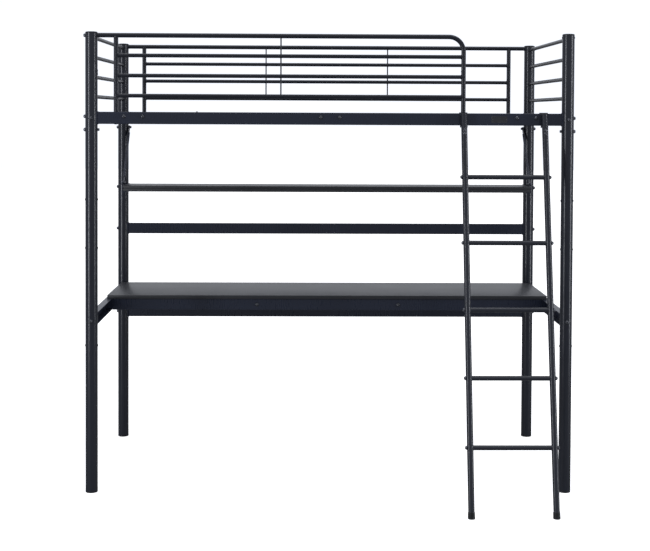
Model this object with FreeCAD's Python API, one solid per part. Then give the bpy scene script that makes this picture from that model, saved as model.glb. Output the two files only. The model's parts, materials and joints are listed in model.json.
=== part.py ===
import FreeCAD, Part
import math
import os

# Steel loft bed with a desk, a shelf and a hook-on ladder. Millimetres, +Z up, front towards -Y.

# --- driving sizes -----------------------------------------------------------------------
LENGTH = 2000.0            # across the outsides of the posts, along X
DEPTH = 970.0              # across the outsides of the posts, along Y
HEIGHT = 1890.0            # floor to the top of the post caps

POST_R = 25.0              # round posts
POST_WALL = 1.5
SEAM_Z = 1510.0            # where an upper post stands on a lower one
SLEEVE_UP = 74.0           # how far the inner sleeve reaches into the upper post
SLEEVE_DOWN = 90.0         # and into the lower post
SLEEVE_WALL = 2.0
SLIP = 0.3                 # clearance of a plug or sleeve inside its tube
CAP_T = 6.0
CAP_PLUG = 4.0             # short, to stay clear of the top bolt
CAP_ROUND = 2.0            # rounded rims of the caps and the feet
FOOT_T = 6.0
FOOT_PLUG = 24.0

RAIL_H = 50.0              # rectangular tube of the rails and beams
RAIL_W = 20.0
RAIL_WALL = 1.5
RAIL_CORNER = 3.0
RAIL_TOP = 1563.0          # top of the bed's side and end rails
SADDLE_T = 3.0             # curved end plate that hugs a post
SADDLE_W = 30.0
SADDLE_LIP = 2.0           # how far a saddle shows above and below its rail
SADDLE_SHY = 1.0           # an end rail is this much wider than its saddle

GUARD_R = 9.5              # guard hoop and uprights
GUARD_WALL = 1.2
GUARD_TOP_Z = 1875.0       # centre of the highest guard tube
GUARD_BEND = 60.0          # bend of the hoop, on its centre line
INFILL_R = 8.0
INFILL_WALL = 1.0
INFILL_PITCH = 82.0
INFILL_COUNT = 3
GUARD_INSET = 100.0        # post centre to the nearest guard upright
ENTRY_GAP = 330.0          # ladder entry, between stile centres
TIE_ROD_R = 3.0
END_GUARD_TOP_Z = 1868.0   # highest rail of the head and foot ends
END_GUARD_PITCH = 81.0
END_GUARD_COUNT = 4

OUTER_TIE_INSET = 171.0    # post centre to the nearest cross tie
TIE_W = 40.0
TIE_H = 18.0
TIE_WALL = 1.5
TIE_PLATE_L = 100.0
TIE_PLATE_T = 4.0
TIE_BOLT_SPREAD = 77.0
LEDGE_TOP = 1520.0         # shelf of the angle that the slats lie on
LEDGE_W = 22.0
LEDGE_H = 14.0
LEDGE_T = 3.0
LEDGE_GAP = 2.0            # ledge to the plates of the cross ties
SLAT_W = 38.0
SLAT_T = 12.0
SLAT_WALL = 1.2
SLAT_CAP_T = 1.5
SLAT_CAP_L = 32.0
SLAT_CORNER = 2.5
SLAT_PLAY = 1.0            # slat cap to the leg of its ledge
SLATS_PER_BAY = 5
END_SLAT_INSET = 63.0      # post centre to the last slat, clear of the ladder hook

FREE_HOLES_Z = (1205.0, 1005.0, 605.0)   # holes in every post: shelf, back bar, lower beam
SPLICE_Z = 1490.0
DESK_BOLT_Z = 707.0

DESK_OVERHANG = 5.0        # desk top past the post centres, at each end
DESK_DEPTH = 442.0
DESK_REAR_GAP = 7.0        # desk top to the rear posts
DESK_T = 16.0
DESK_EDGE_R = 1.5
CHANNEL_W = 30.0           # C-channel under each end of the desk
CHANNEL_T = 2.5
DESK_RAIL_SETBACK = 6.0
DESK_RAIL_GAP = 2.0        # desk rail to the edge of a channel's flange
DESK_STUB_L = 60.0         # stub inside a desk rail that reaches into the channel
DESK_STUB_PLAY = 1.0       # stub to each flange of the channel
DESK_BAR_W = 25.0
DESK_BAR_H = 40.0
FLANGE_HOLE_R = 4.0
FLANGE_HOLE_INSET = 45.0

SHELF_DEPTH = 192.0
SHELF_REAR_GAP = 3.0       # shelf to the front of the rear posts
SHELF_TOP = 1221.0
SHELF_T = 27.0
SHELF_EDGE_R = 1.5
SHELF_GAP = 1.0
BRACKET_T = 3.0
BRACKET_LEDGE = 22.0
EAR_R = 11.0               # rounded ear that the stay is bolted to
EAR_UP = 13.0              # ear bolt above the shelf's top
EAR_BACK = 14.0            # ear bolt behind the shelf's front edge
STAY_R = 5.0
STAY_FLAT_T = 3.0
STAY_FLAT_L = 34.0
STAY_FLAT_W = 18.0
STAY_SPACER_R = 8.0

STILE_R = 12.5             # ladder
STILE_WALL = 1.5
LADDER_LEAN = math.radians(11.9)
RUNG_R = 9.5
RUNG_WALL = 1.2
RUNG_COUNT = 5
RUNG_PITCH = 261.0         # height from one rung to the next, floor included
BOOT_WALL = 1.6
BOOT_H = 24.0
BOOT_SOLE = 4.0
HOOK_W = 31.0
HOOK_T = 3.0
HOOK_GAP = 0.5             # hook to rail
HOOK_LIP = 25.0            # how far the hook reaches down behind the rail
HOOK_DROP = 55.0           # strap below the rail's top at full width
TONGUE_W = 20.0
TONGUE_DROP = 92.0
HOOK_SCREW_DROPS = (70.0, 84.0)   # below the rail's top
FORK_GAP = 2.0             # hook prong to guard upright, all round
STILE_PLUG_T = 3.0

BOLT_R = 3.0
BOLT_CLEAR = 0.25
HEAD_R = 8.0
HEAD_H = 7.5
NUT_R = 6.5
NUT_H = 7.0
THREAD_END = 1.0           # shank showing past a nut
LOW_HEAD_H = 1.8
BOLT_RAISE = 2.0           # rail bolts above the middle of their rail
CROSSING = 4.0             # side rail bolts sit this much above that, end rail bolts this much below
GUARD_BOLT_DROP = 1.0      # guard bolts below the middle of the top tube
PLUG_R = 5.5
SCREW_HEAD_R = 5.5
PLUG_H = 3.0
PLATE_L = 66.0             # blank plate on the front rail
PLATE_H = 26.0
PLATE_T = 0.8
PLATE_INSET = 283.0        # post centre to the middle of the plate

# --- worked out from them ----------------------------------------------------------------
POST_X = LENGTH / 2 - POST_R
POST_Y = DEPTH / 2 - POST_R
POST_BORE = POST_R - POST_WALL
RAIL_Z = RAIL_TOP - RAIL_H / 2
RAIL_BOTTOM = RAIL_TOP - RAIL_H
RAIL_FRONT = -POST_Y - RAIL_W / 2
RAIL_BACK = -POST_Y + RAIL_W / 2
SIDE_BOLT_Z = RAIL_Z + BOLT_RAISE + CROSSING
END_BOLT_Z = RAIL_Z + BOLT_RAISE - CROSSING
GUARD_BOLT_Z = GUARD_TOP_Z - GUARD_BOLT_DROP
GUARD_START_X = -(POST_X - GUARD_INSET)
LADDER_RIGHT_X = POST_X - GUARD_INSET
LADDER_LEFT_X = LADDER_RIGHT_X - ENTRY_GAP
INFILL_Z = [GUARD_TOP_Z - INFILL_PITCH * (i + 1) for i in range(INFILL_COUNT)]
SHELF_Z, BACK_BAR_Z, LOWER_BEAM_Z = FREE_HOLES_Z
CROSS_TIE_X = POST_X - OUTER_TIE_INSET
END_SLAT_X = POST_X - END_SLAT_INSET
PLATE_X = POST_X - PLATE_INSET
DESK_X = POST_X + DESK_OVERHANG
DESK_REAR_Y = POST_Y - POST_R - DESK_REAR_GAP
DESK_FRONT_Y = DESK_REAR_Y - DESK_DEPTH
DESK_BAR_X = (POST_X - CHANNEL_W) / 3
SHELF_REAR_Y = POST_Y - POST_R - SHELF_REAR_GAP
SHELF_FRONT_Y = SHELF_REAR_Y - SHELF_DEPTH
DESK_UNDER = DESK_BOLT_Z + RAIL_H / 2
DESK_RAIL_END = POST_X - CHANNEL_W / 2 - DESK_RAIL_GAP
CHANNEL_WEB_IN = POST_X + CHANNEL_W / 2 - CHANNEL_T
HOLE_R = BOLT_R + BOLT_CLEAR
REACH = 5.0                # how far a cutting tool runs past what it cuts
SAME = 0.01                # lengths closer than this are the same
STRAIGHT = 0.999           # share of an edge that runs along its axis

FRONT, REAR = -1, 1
SIDES = {"left": -1, "right": 1}
ENDS = {"front": FRONT, "rear": REAR}


def point(x, y, z):
    return FreeCAD.Vector(x, y, z)


def rod(radius, start, end):
    """Solid round bar between two points."""
    along = end - start
    return Part.makeCylinder(radius, along.Length, start, along)


def tube(radius, wall, start, end):
    """Round tube, open at both ends."""
    over = (end - start).normalize() * REACH
    return rod(radius, start, end).cut(rod(radius - wall, start - over, end + over))


def block(x0, x1, y0, y1, z0, z1):
    low = point(min(x0, x1), min(y0, y1), min(z0, z1))
    return Part.makeBox(abs(x1 - x0), abs(y1 - y0), abs(z1 - z0), low)


def edges_along(shape, axis):
    """Edges of a box-like shape that run along one axis (0, 1 or 2)."""
    found = []
    for edge in shape.Edges:
        step = edge.Vertexes[-1].Point - edge.Vertexes[0].Point
        if abs(step[axis]) > STRAIGHT * step.Length:
            found.append(edge)
    return found


def box_tube(x0, x1, y0, y1, z0, z1, wall, corner, axis):
    """Rectangular tube with rounded long corners, running along one axis."""
    outer = block(x0, x1, y0, y1, z0, z1)
    outer = outer.makeFillet(corner, edges_along(outer, axis))
    grow = [-wall, -wall, -wall]
    grow[axis] = REACH
    gx, gy, gz = grow
    inner = block(min(x0, x1) - gx, max(x0, x1) + gx, min(y0, y1) - gy, max(y0, y1) + gy,
                  min(z0, z1) - gz, max(z0, z1) + gz)
    inner = inner.makeFillet(corner - wall, edges_along(inner, axis))
    return outer.cut(inner)


def post_core(sx, sy, radius=POST_R, z0=-REACH, z1=HEIGHT + REACH):
    """The cylinder that a post fills, used to cope what meets it."""
    return rod(radius, point(sx * POST_X, sy * POST_Y, z0), point(sx * POST_X, sy * POST_Y, z1))


def cut_all(shape, tools):
    for tool in tools:
        shape = shape.cut(tool)
    return shape


def group(solids):
    return Part.makeCompound(solids)


# --- bolts: each has a head, a shank and a nut, and is laid along one axis ----------------
def dome(radius, height, at, direction, shank_r=0.0, shank_l=0.0):
    """Low domed head that stands on the face at `at`, with a shank running back from it."""
    ball_r = (radius ** 2 + height ** 2) / (2 * height)
    half_way = math.asin(radius / ball_r) / 2
    crown = point(ball_r * math.sin(half_way), 0, height - ball_r * (1 - math.cos(half_way)))
    arc = Part.Arc(point(0, 0, height), crown, point(radius, 0, 0)).toShape()
    corners = [point(radius, 0, 0), point(shank_r, 0, 0), point(shank_r, 0, -shank_l),
               point(0, 0, -shank_l), point(0, 0, height)]
    sides = [Part.makeLine(a, b) for a, b in zip(corners, corners[1:]) if a.distanceToPoint(b) > 0]
    turned = Part.Face(Part.Wire([arc] + sides)).revolve(point(0, 0, 0), point(0, 0, 1), 360)
    turned.Placement = FreeCAD.Placement(at, FreeCAD.Rotation(point(0, 0, 1), direction))
    return turned


def bolt(face, direction, grip, head_h=HEAD_H):
    """Bolt whose head sits on `face`; its shank runs `grip` along -direction to the nut."""
    return dome(HEAD_R, head_h, face, direction, BOLT_R, grip + NUT_H + THREAD_END)


def nut(face, direction, grip):
    near = face - direction * grip
    body = rod(NUT_R, near - direction * NUT_H, near)
    return body.cut(rod(BOLT_R, near - direction * (NUT_H + REACH), near + direction * REACH))


def hole(face, direction, depth):
    return rod(HOLE_R, face + direction * REACH, face - direction * depth)


ALONG_X = {"left": point(-1, 0, 0), "right": point(1, 0, 0)}
ALONG_Y = {"front": point(0, -1, 0), "rear": point(0, 1, 0)}


def post_side(side, end, z):
    """Point on a post's outer side, at height z."""
    return point(SIDES[side] * (POST_X + POST_R), ENDS[end] * POST_Y, z)


def post_face(side, end, z):
    """Point on a post's front or rear face, at height z."""
    return point(SIDES[side] * POST_X, ENDS[end] * (POST_Y + POST_R), z)


def guard_is_bolted(side, end):
    return end == "rear" or side == "left"


def cross_bolts(side, end):
    """Heights and grips of the bolts that run through a post along X."""
    rows = [(SIDE_BOLT_Z, 2 * POST_R + SADDLE_T)]
    if guard_is_bolted(side, end):
        rows.append((GUARD_BOLT_Z, 2 * POST_R + SADDLE_T))
    if end == "rear":
        rows.append((SPLICE_Z, 2 * POST_R + 2 * STAY_FLAT_T))
        rows.append((SHELF_Z, 2 * POST_R + BRACKET_T))
        rows.append((BACK_BAR_Z, 2 * POST_R + SADDLE_T))
        rows.append((LOWER_BEAM_Z, 2 * POST_R + SADDLE_T))
    else:
        rows.append((SPLICE_Z, 2 * POST_R))
    return rows


def depth_bolts():
    """Heights and grips of the bolts that run through a post along Y."""
    return [(END_BOLT_Z, 2 * POST_R + SADDLE_T), (DESK_BOLT_Z, 2 * POST_R + SADDLE_T)]


def plug_heights(side, end):
    """Heights of the post holes along X that are closed with plugs."""
    if end == "rear":
        return []
    return list(FREE_HOLES_Z) + ([] if guard_is_bolted(side, end) else [GUARD_BOLT_Z])


def post_holes(side, end):
    tools = []
    for z, _ in cross_bolts(side, end):
        tools.append(hole(post_side(side, end, z), ALONG_X[side], 2 * POST_R + REACH))
    for z in plug_heights(side, end):
        tools.append(hole(post_side(side, end, z), ALONG_X[side], 2 * POST_R + REACH))
    for z, _ in depth_bolts():
        tools.append(hole(post_face(side, end, z), ALONG_Y[end], 2 * POST_R + REACH))
    return tools


def every_post():
    return [(side, end) for side in SIDES for end in ENDS]


def post_bolts():
    solids = []
    for side, end in every_post():
        for z, grip in cross_bolts(side, end):
            solids.append(bolt(post_side(side, end, z), ALONG_X[side], grip))
        for z, grip in depth_bolts():
            solids.append(bolt(post_face(side, end, z), ALONG_Y[end], grip))
    return group(solids)


def post_nuts():
    solids = []
    for side, end in every_post():
        for z, grip in cross_bolts(side, end):
            solids.append(nut(post_side(side, end, z), ALONG_X[side], grip))
        for z, grip in depth_bolts():
            solids.append(nut(post_face(side, end, z), ALONG_Y[end], grip))
    return group(solids)


def hole_plugs():
    solids = []
    for side, end in every_post():
        for z in plug_heights(side, end):
            for facing in (1, -1):
                outwards = ALONG_X[side] * facing
                at = point(SIDES[side] * POST_X, ENDS[end] * POST_Y, z) + outwards * POST_R
                solids.append(dome(PLUG_R, PLUG_H, at, outwards, BOLT_R, 2 * POST_WALL))
    at = point(-LADDER_LEFT_X, -POST_Y, RAIL_TOP)
    solids.append(dome(PLUG_R, PLUG_H, at, point(0, 0, 1), BOLT_R, 2 * RAIL_WALL))
    return group(solids)


# --- posts --------------------------------------------------------------------------------
def post(side, end, z0, z1):
    sx = SIDES[side]
    sy = ENDS[end]
    shell = tube(POST_R, POST_WALL, point(sx * POST_X, sy * POST_Y, z0), point(sx * POST_X, sy * POST_Y, z1))
    return cut_all(shell, post_holes(side, end))


def post_sleeves():
    solids = []
    for side, end in every_post():
        at = point(SIDES[side] * POST_X, ENDS[end] * POST_Y, 0)
        shell = tube(POST_BORE - SLIP, SLEEVE_WALL, at + point(0, 0, SEAM_Z - SLEEVE_DOWN),
                     at + point(0, 0, SEAM_Z + SLEEVE_UP))
        solids.append(cut_all(shell, post_holes(side, end)))
    return group(solids)


def round_edges_at(shape, radius, z):
    rims = [e for e in shape.Edges if all(abs(v.Point.z - z) < SAME for v in e.Vertexes)]
    return shape.makeFillet(radius, rims)


def post_top_caps():
    solids = []
    for side, end in every_post():
        at = point(SIDES[side] * POST_X, ENDS[end] * POST_Y, 0)
        lid = rod(POST_R, at + point(0, 0, HEIGHT - CAP_T), at + point(0, 0, HEIGHT))
        lid = round_edges_at(lid, CAP_ROUND, HEIGHT)
        under = at + point(0, 0, HEIGHT - CAP_T)
        plug = rod(POST_BORE - SLIP, under - point(0, 0, CAP_PLUG), under)
        solids.append(lid.fuse(plug).removeSplitter())
    return group(solids)


def post_feet():
    solids = []
    for side, end in every_post():
        at = point(SIDES[side] * POST_X, ENDS[end] * POST_Y, 0)
        pad = rod(POST_R, at, at + point(0, 0, FOOT_T))
        pad = round_edges_at(pad, CAP_ROUND, 0)
        plug = rod(POST_BORE - SLIP, at + point(0, 0, FOOT_T), at + point(0, 0, FOOT_T + FOOT_PLUG))
        solids.append(pad.fuse(plug).removeSplitter())
    return group(solids)


# --- rails between posts ------------------------------------------------------------------
def saddle(sx, sy, z, height, along):
    """Curved plate on a post, on the side that faces the rail: along 'x' or 'y'."""
    ring = post_core(sx, sy, POST_R + SADDLE_T, z - height / 2, z + height / 2)
    ring = ring.cut(post_core(sx, sy))
    if along == "x":
        window = block(sx * POST_X, sx * (POST_X - 2 * POST_R), sy * POST_Y - SADDLE_W / 2,
                       sy * POST_Y + SADDLE_W / 2, 0, HEIGHT)
        inwards = point(-sx, 0, 0)
    else:
        half = min(SADDLE_W, RAIL_W - SADDLE_SHY) / 2
        window = block(sx * POST_X - half, sx * POST_X + half, sy * POST_Y,
                       sy * (POST_Y - 2 * POST_R), 0, HEIGHT)
        inwards = point(0, -sy, 0)
    centre = point(sx * POST_X, sy * POST_Y, 0)
    return ring.common(window), centre, inwards


def saddle_solid(sx, sy, z, bolt_z, height, along):
    plate, centre, inwards = saddle(sx, sy, z, height, along)
    start = centre + point(0, 0, bolt_z)
    return plate.cut(rod(HOLE_R, start, start + inwards * 2 * POST_R))


def rail_saddles():
    """Eight curved end plates: two side rails, the back bar and the lower rear beam."""
    solids = []
    height = RAIL_H + 2 * SADDLE_LIP
    for sx in SIDES.values():
        for sy in ENDS.values():
            solids.append(saddle_solid(sx, sy, RAIL_Z, SIDE_BOLT_Z, height, "x"))
        for z in (BACK_BAR_Z, LOWER_BEAM_Z):
            solids.append(saddle_solid(sx, REAR, z, z, height, "x"))
    return group(solids)


def beam_along_x(y, z):
    """Rectangular tube from saddle to saddle, along X."""
    body = box_tube(-POST_X, POST_X, y - RAIL_W / 2, y + RAIL_W / 2, z - RAIL_H / 2, z + RAIL_H / 2,
                    RAIL_WALL, RAIL_CORNER, 0)
    sy = math.copysign(1, y)
    return cut_all(body, [post_core(sx, sy, POST_R + SADDLE_T) for sx in SIDES.values()])


def tie_positions():
    return (-CROSS_TIE_X, 0.0, CROSS_TIE_X)


def tie_bolt_places():
    return [x + s * TIE_BOLT_SPREAD / 2 for x in tie_positions() for s in (-1, 1)]


def side_rail(end):
    sy = ENDS[end]
    body = beam_along_x(sy * POST_Y, RAIL_Z)
    face_y = sy * (POST_Y + RAIL_W / 2)
    tools = [hole(point(x, face_y, SIDE_BOLT_Z), ALONG_Y[end], RAIL_W + REACH) for x in tie_bolt_places()]
    up = point(0, 0, 1)
    tools += [hole(point(x, sy * POST_Y, RAIL_TOP), up, RAIL_H + REACH) for x in guard_feet(end)]
    if end == "front":
        tools.append(hole(point(-LADDER_LEFT_X, sy * POST_Y, RAIL_TOP), up, RAIL_H / 2))
    return cut_all(body, tools)


def platform_end_rail(side):
    """Rectangular tube from post to post along Y, at the head or the foot."""
    sx = SIDES[side]
    body = box_tube(sx * POST_X - RAIL_W / 2, sx * POST_X + RAIL_W / 2, -POST_Y, POST_Y,
                    RAIL_BOTTOM, RAIL_TOP, RAIL_WALL, RAIL_CORNER, 1)
    body = cut_all(body, [post_core(sx, sy, POST_R + SADDLE_T) for sy in ENDS.values()])
    plates = [saddle_solid(sx, sy, RAIL_Z, END_BOLT_Z, RAIL_H, "y") for sy in ENDS.values()]
    return group([body] + plates)


def end_guard_rails(side):
    """Four round rails, welded between the upper posts of one end."""
    sx = SIDES[side]
    solids = []
    for i in range(END_GUARD_COUNT):
        z = END_GUARD_TOP_Z - END_GUARD_PITCH * i
        rail = tube(INFILL_R, INFILL_WALL, point(sx * POST_X, -POST_Y, z), point(sx * POST_X, POST_Y, z))
        solids.append(cut_all(rail, [post_core(sx, sy) for sy in ENDS.values()]))
    return group(solids)


# --- mattress base ------------------------------------------------------------------------
def slat_places():
    """Middles of the slats along X: evenly between the ties, and one past each outer tie."""
    step = CROSS_TIE_X / (SLATS_PER_BAY + 1)
    inner = [s * step * (i + 1) for s in (-1, 1) for i in range(SLATS_PER_BAY)]
    return sorted(inner + [-END_SLAT_X, END_SLAT_X])


def cross_ties():
    """Three tubes that hold the side rails together, each with two bolted end plates."""
    solids = []
    top = LEDGE_TOP + SLAT_T + 2 * SLAT_CAP_T
    inner_y = POST_Y - RAIL_W / 2
    for x in tie_positions():
        reach = inner_y - TIE_PLATE_T
        solids.append(box_tube(x - TIE_W / 2, x + TIE_W / 2, -reach, reach, top - TIE_H, top,
                               TIE_WALL, RAIL_CORNER, 1))
        for end, sy in ENDS.items():
            plate = block(x - TIE_PLATE_L / 2, x + TIE_PLATE_L / 2, sy * reach, sy * inner_y,
                          top - TIE_H, RAIL_TOP - RAIL_CORNER)
            for s in (-1, 1):
                spot = point(x + s * TIE_BOLT_SPREAD / 2, sy * inner_y, SIDE_BOLT_Z)
                plate = plate.cut(hole(spot, ALONG_Y[end], TIE_PLATE_T + REACH))
            solids.append(plate)
    return group(solids)


def slat_ledges():
    """Angles welded along the side rails, left out where a cross tie is bolted on."""
    solids = []
    reach = POST_X - POST_R - SADDLE_T - REACH
    tie_gap = TIE_PLATE_L / 2 + LEDGE_GAP
    stops = [-reach] + [x + s * tie_gap for x in tie_positions() for s in (-1, 1)] + [reach]
    for sy in ENDS.values():
        wall = sy * (POST_Y - RAIL_W / 2)
        for x0, x1 in zip(stops[0::2], stops[1::2]):
            flat = block(x0, x1, wall, wall - sy * LEDGE_W, LEDGE_TOP - LEDGE_T, LEDGE_TOP)
            leg = block(x0, x1, wall, wall - sy * LEDGE_T, LEDGE_TOP, LEDGE_TOP + LEDGE_H)
            solids.append(flat.fuse(leg).removeSplitter())
    return group(solids)


def slat_reach():
    """Half the length of a slat with its caps on, between the legs of the ledges."""
    return POST_Y - RAIL_W / 2 - LEDGE_T - SLAT_PLAY


def slats():
    low = LEDGE_TOP + SLAT_CAP_T
    half = slat_reach() - SLAT_CAP_T
    return group([box_tube(x - SLAT_W / 2, x + SLAT_W / 2, -half, half, low, low + SLAT_T,
                           SLAT_WALL, SLAT_CORNER, 1) for x in slat_places()])


def slat_end_caps():
    """Plastic cap on each end of each slat, which keeps steel off steel."""
    solids = []
    low = LEDGE_TOP + SLAT_CAP_T
    reach = slat_reach()
    for x in slat_places():
        for sy in ENDS.values():
            cap = block(x - SLAT_W / 2 - SLAT_CAP_T, x + SLAT_W / 2 + SLAT_CAP_T, sy * reach,
                        sy * (reach - SLAT_CAP_L), LEDGE_TOP, low + SLAT_T + SLAT_CAP_T)
            socket = block(x - SLAT_W / 2, x + SLAT_W / 2, sy * (reach - SLAT_CAP_T),
                           sy * (reach - SLAT_CAP_L - REACH), low, low + SLAT_T)
            solids.append(cap.cut(socket))
    return group(solids)


def cross_tie_bolts():
    solids = []
    for end, sy in ENDS.items():
        for x in tie_bolt_places():
            face = point(x, sy * (POST_Y + RAIL_W / 2), SIDE_BOLT_Z)
            solids.append(bolt(face, ALONG_Y[end], RAIL_W + TIE_PLATE_T))
            solids.append(nut(face, ALONG_Y[end], RAIL_W + TIE_PLATE_T))
    return group(solids)


# --- long guards --------------------------------------------------------------------------
def guard_feet(end):
    """X of the guard uprights that stand on a side rail."""
    if end == "front":
        return [GUARD_START_X, LADDER_LEFT_X]
    return [GUARD_START_X, -GUARD_START_X]


def hoop_core(radius):
    """The front hoop as a solid bar: along the top, round the bend and down to the rail."""
    y = -POST_Y
    turn_x = LADDER_LEFT_X - GUARD_BEND
    turn_z = GUARD_TOP_Z - GUARD_BEND
    top = rod(radius, point(-POST_X, y, GUARD_TOP_Z), point(turn_x, y, GUARD_TOP_Z))
    disc = Part.Face(Part.Wire(Part.makeCircle(radius, point(turn_x, y, GUARD_TOP_Z), point(1, 0, 0))))
    bend = disc.revolve(point(turn_x, y, turn_z), point(0, 1, 0), 90)
    leg = rod(radius, point(LADDER_LEFT_X, y, turn_z), point(LADDER_LEFT_X, y, RAIL_TOP))
    return top.fuse([bend, leg]).removeSplitter()


def front_guard_hoop():
    shell = hoop_core(GUARD_R).cut(hoop_core(GUARD_R - GUARD_WALL))
    return shell.cut(post_core(-1, FRONT))


def guard_upright(x, y):
    """Upright from the side rail to the underside of the top tube."""
    stand = tube(GUARD_R, GUARD_WALL, point(x, y, RAIL_TOP), point(x, y, GUARD_TOP_Z))
    over = point(GUARD_R * 2, 0, 0)
    return stand.cut(rod(GUARD_R, point(x, y, GUARD_TOP_Z) - over, point(x, y, GUARD_TOP_Z) + over))


def upright_core(x, y):
    return rod(GUARD_R, point(x, y, RAIL_TOP), point(x, y, GUARD_TOP_Z))


def infill(x0, x1, y):
    """Three round rails between two uprights."""
    solids = []
    for z in INFILL_Z:
        rail = tube(INFILL_R, INFILL_WALL, point(x0, y, z), point(x1, y, z))
        solids.append(cut_all(rail, [upright_core(x0, y), upright_core(x1, y)]))
    return group(solids)


def tie_rods(places, y):
    """Thin rods in the plane of the rails, in short lengths from the top tube down to the lowest rail."""
    solids = []
    levels = [GUARD_TOP_Z] + INFILL_Z
    radii = [GUARD_R] + [INFILL_R] * INFILL_COUNT
    over = point(GUARD_R * 2, 0, 0)
    for x in places:
        for i in range(INFILL_COUNT):
            piece = rod(TIE_ROD_R, point(x, y, levels[i + 1]), point(x, y, levels[i]))
            for k in (i, i + 1):
                at = point(x, y, levels[k])
                piece = piece.cut(rod(radii[k], at - over, at + over))
            solids.append(piece)
    return solids


def guard_tie_rods():
    """One line of rods in the front guard and two in the rear one."""
    front_x = (LADDER_LEFT_X - (POST_X - POST_R)) / 2
    third = -GUARD_START_X / 3
    return group(tie_rods([front_x], -POST_Y) + tie_rods([-third, third], POST_Y))


def rear_guard_top_rail():
    rail = tube(GUARD_R, GUARD_WALL, point(-POST_X, POST_Y, GUARD_TOP_Z), point(POST_X, POST_Y, GUARD_TOP_Z))
    return cut_all(rail, [post_core(sx, REAR) for sx in SIDES.values()])


def guard_uprights():
    """One short upright by the front left post, and the two of the rear guard."""
    rear = [guard_upright(x, POST_Y) for x in guard_feet("rear")]
    return group([guard_upright(GUARD_START_X, -POST_Y)] + rear)


def guard_foot_bolts():
    """Long bolts up through a side rail into the foot of each guard upright."""
    solids = []
    down = point(0, 0, -1)
    for end, sy in ENDS.items():
        for x in guard_feet(end):
            solids.append(bolt(point(x, sy * POST_Y, RAIL_BOTTOM), down, RAIL_H + 2 * NUT_H, LOW_HEAD_H))
            solids.append(nut(point(x, sy * POST_Y, RAIL_BOTTOM), down, RAIL_H + 2 * NUT_H))
    return group(solids)


def blank_plate():
    plate = block(PLATE_X - PLATE_L / 2, PLATE_X + PLATE_L / 2, RAIL_FRONT - PLATE_T, RAIL_FRONT,
                  RAIL_Z - PLATE_H / 2, RAIL_Z + PLATE_H / 2)
    return plate.makeFillet(2.0, edges_along(plate, 1))


# --- desk ---------------------------------------------------------------------------------
def desk_end_channel(side):
    """C-channel along Y under one end of the desk, open towards the middle."""
    sx = SIDES[side]
    outer = sx * (POST_X + CHANNEL_W / 2)
    inner = sx * (POST_X - CHANNEL_W / 2)
    low = DESK_BOLT_Z - RAIL_H / 2
    body = block(inner, outer, -POST_Y, POST_Y, low, DESK_UNDER)
    body = body.cut(block(inner - sx * REACH, sx * CHANNEL_WEB_IN, -POST_Y, POST_Y,
                          low + CHANNEL_T, DESK_UNDER - CHANNEL_T))
    body = cut_all(body, [post_core(sx, sy) for sy in ENDS.values()])
    hole_y = -POST_Y + POST_R + FLANGE_HOLE_INSET
    drill_at = point(sx * POST_X, hole_y, low - REACH)
    body = body.cut(rod(FLANGE_HOLE_R, drill_at, drill_at + point(0, 0, 2 * REACH)))
    tools = [hole(point(outer, y, DESK_BOLT_Z), ALONG_X[side], CHANNEL_W) for y in desk_rail_places()]
    body = cut_all(body, tools)
    height = RAIL_H - 2 * CHANNEL_T
    plates = [saddle_solid(sx, sy, DESK_BOLT_Z, DESK_BOLT_Z, height, "y") for sy in ENDS.values()]
    return group([body] + plates)


def desk_rail_places():
    """Y of the middles of the front and the rear desk rails."""
    front = DESK_FRONT_Y + DESK_RAIL_SETBACK + RAIL_W / 2
    rear = DESK_REAR_Y - DESK_RAIL_SETBACK - RAIL_W / 2
    return front, rear


def desk_rail(y):
    """Tube under the desk top, with a stub at each end that reaches into the channel."""
    low = DESK_BOLT_Z - RAIL_H / 2
    body = box_tube(-DESK_RAIL_END, DESK_RAIL_END, y - RAIL_W / 2, y + RAIL_W / 2, low, DESK_UNDER,
                    RAIL_WALL, RAIL_CORNER, 0)
    face = point(0, y - RAIL_W / 2, DESK_BOLT_Z)
    for s in (-1, 1):
        body = body.cut(hole(face + point(s * DESK_BAR_X, 0, 0), ALONG_Y["front"], RAIL_W + REACH))
    solids = [body]
    half_w = RAIL_W / 2 - RAIL_WALL - SLIP
    half_h = RAIL_H / 2 - CHANNEL_T - DESK_STUB_PLAY
    for sx in SIDES.values():
        section = (y - half_w, y + half_w, DESK_BOLT_Z - half_h, DESK_BOLT_Z + half_h)
        stub_end = sx * (CHANNEL_WEB_IN - CHANNEL_T)
        stub = box_tube(sx * (CHANNEL_WEB_IN - DESK_STUB_L), stub_end, *section, RAIL_WALL, RAIL_CORNER, 0)
        lid = block(stub_end, sx * CHANNEL_WEB_IN, *section)
        side = "left" if sx < 0 else "right"
        lid = lid.cut(hole(point(sx * CHANNEL_WEB_IN, y, DESK_BOLT_Z), ALONG_X[side], CHANNEL_T + REACH))
        solids += [stub, lid]
    return group(solids)


def desk_cross_bars():
    """Two tubes from the front desk rail to the rear one, with a plate at each end."""
    front, rear = desk_rail_places()
    y0 = front + RAIL_W / 2
    y1 = rear - RAIL_W / 2
    solids = []
    for s in (-1, 1):
        x = s * DESK_BAR_X
        solids.append(box_tube(x - DESK_BAR_W / 2, x + DESK_BAR_W / 2, y0 + SADDLE_T, y1 - SADDLE_T,
                               DESK_UNDER - DESK_BAR_H, DESK_UNDER, RAIL_WALL, RAIL_CORNER, 1))
        for y in (y0, y1 - SADDLE_T):
            plate = block(x - DESK_BAR_W / 2, x + DESK_BAR_W / 2, y, y + SADDLE_T,
                          DESK_UNDER - DESK_BAR_H, DESK_UNDER)
            face = point(x, y, DESK_BOLT_Z)
            solids.append(plate.cut(hole(face, ALONG_Y["front"], SADDLE_T + REACH)))
    return group(solids)


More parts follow.
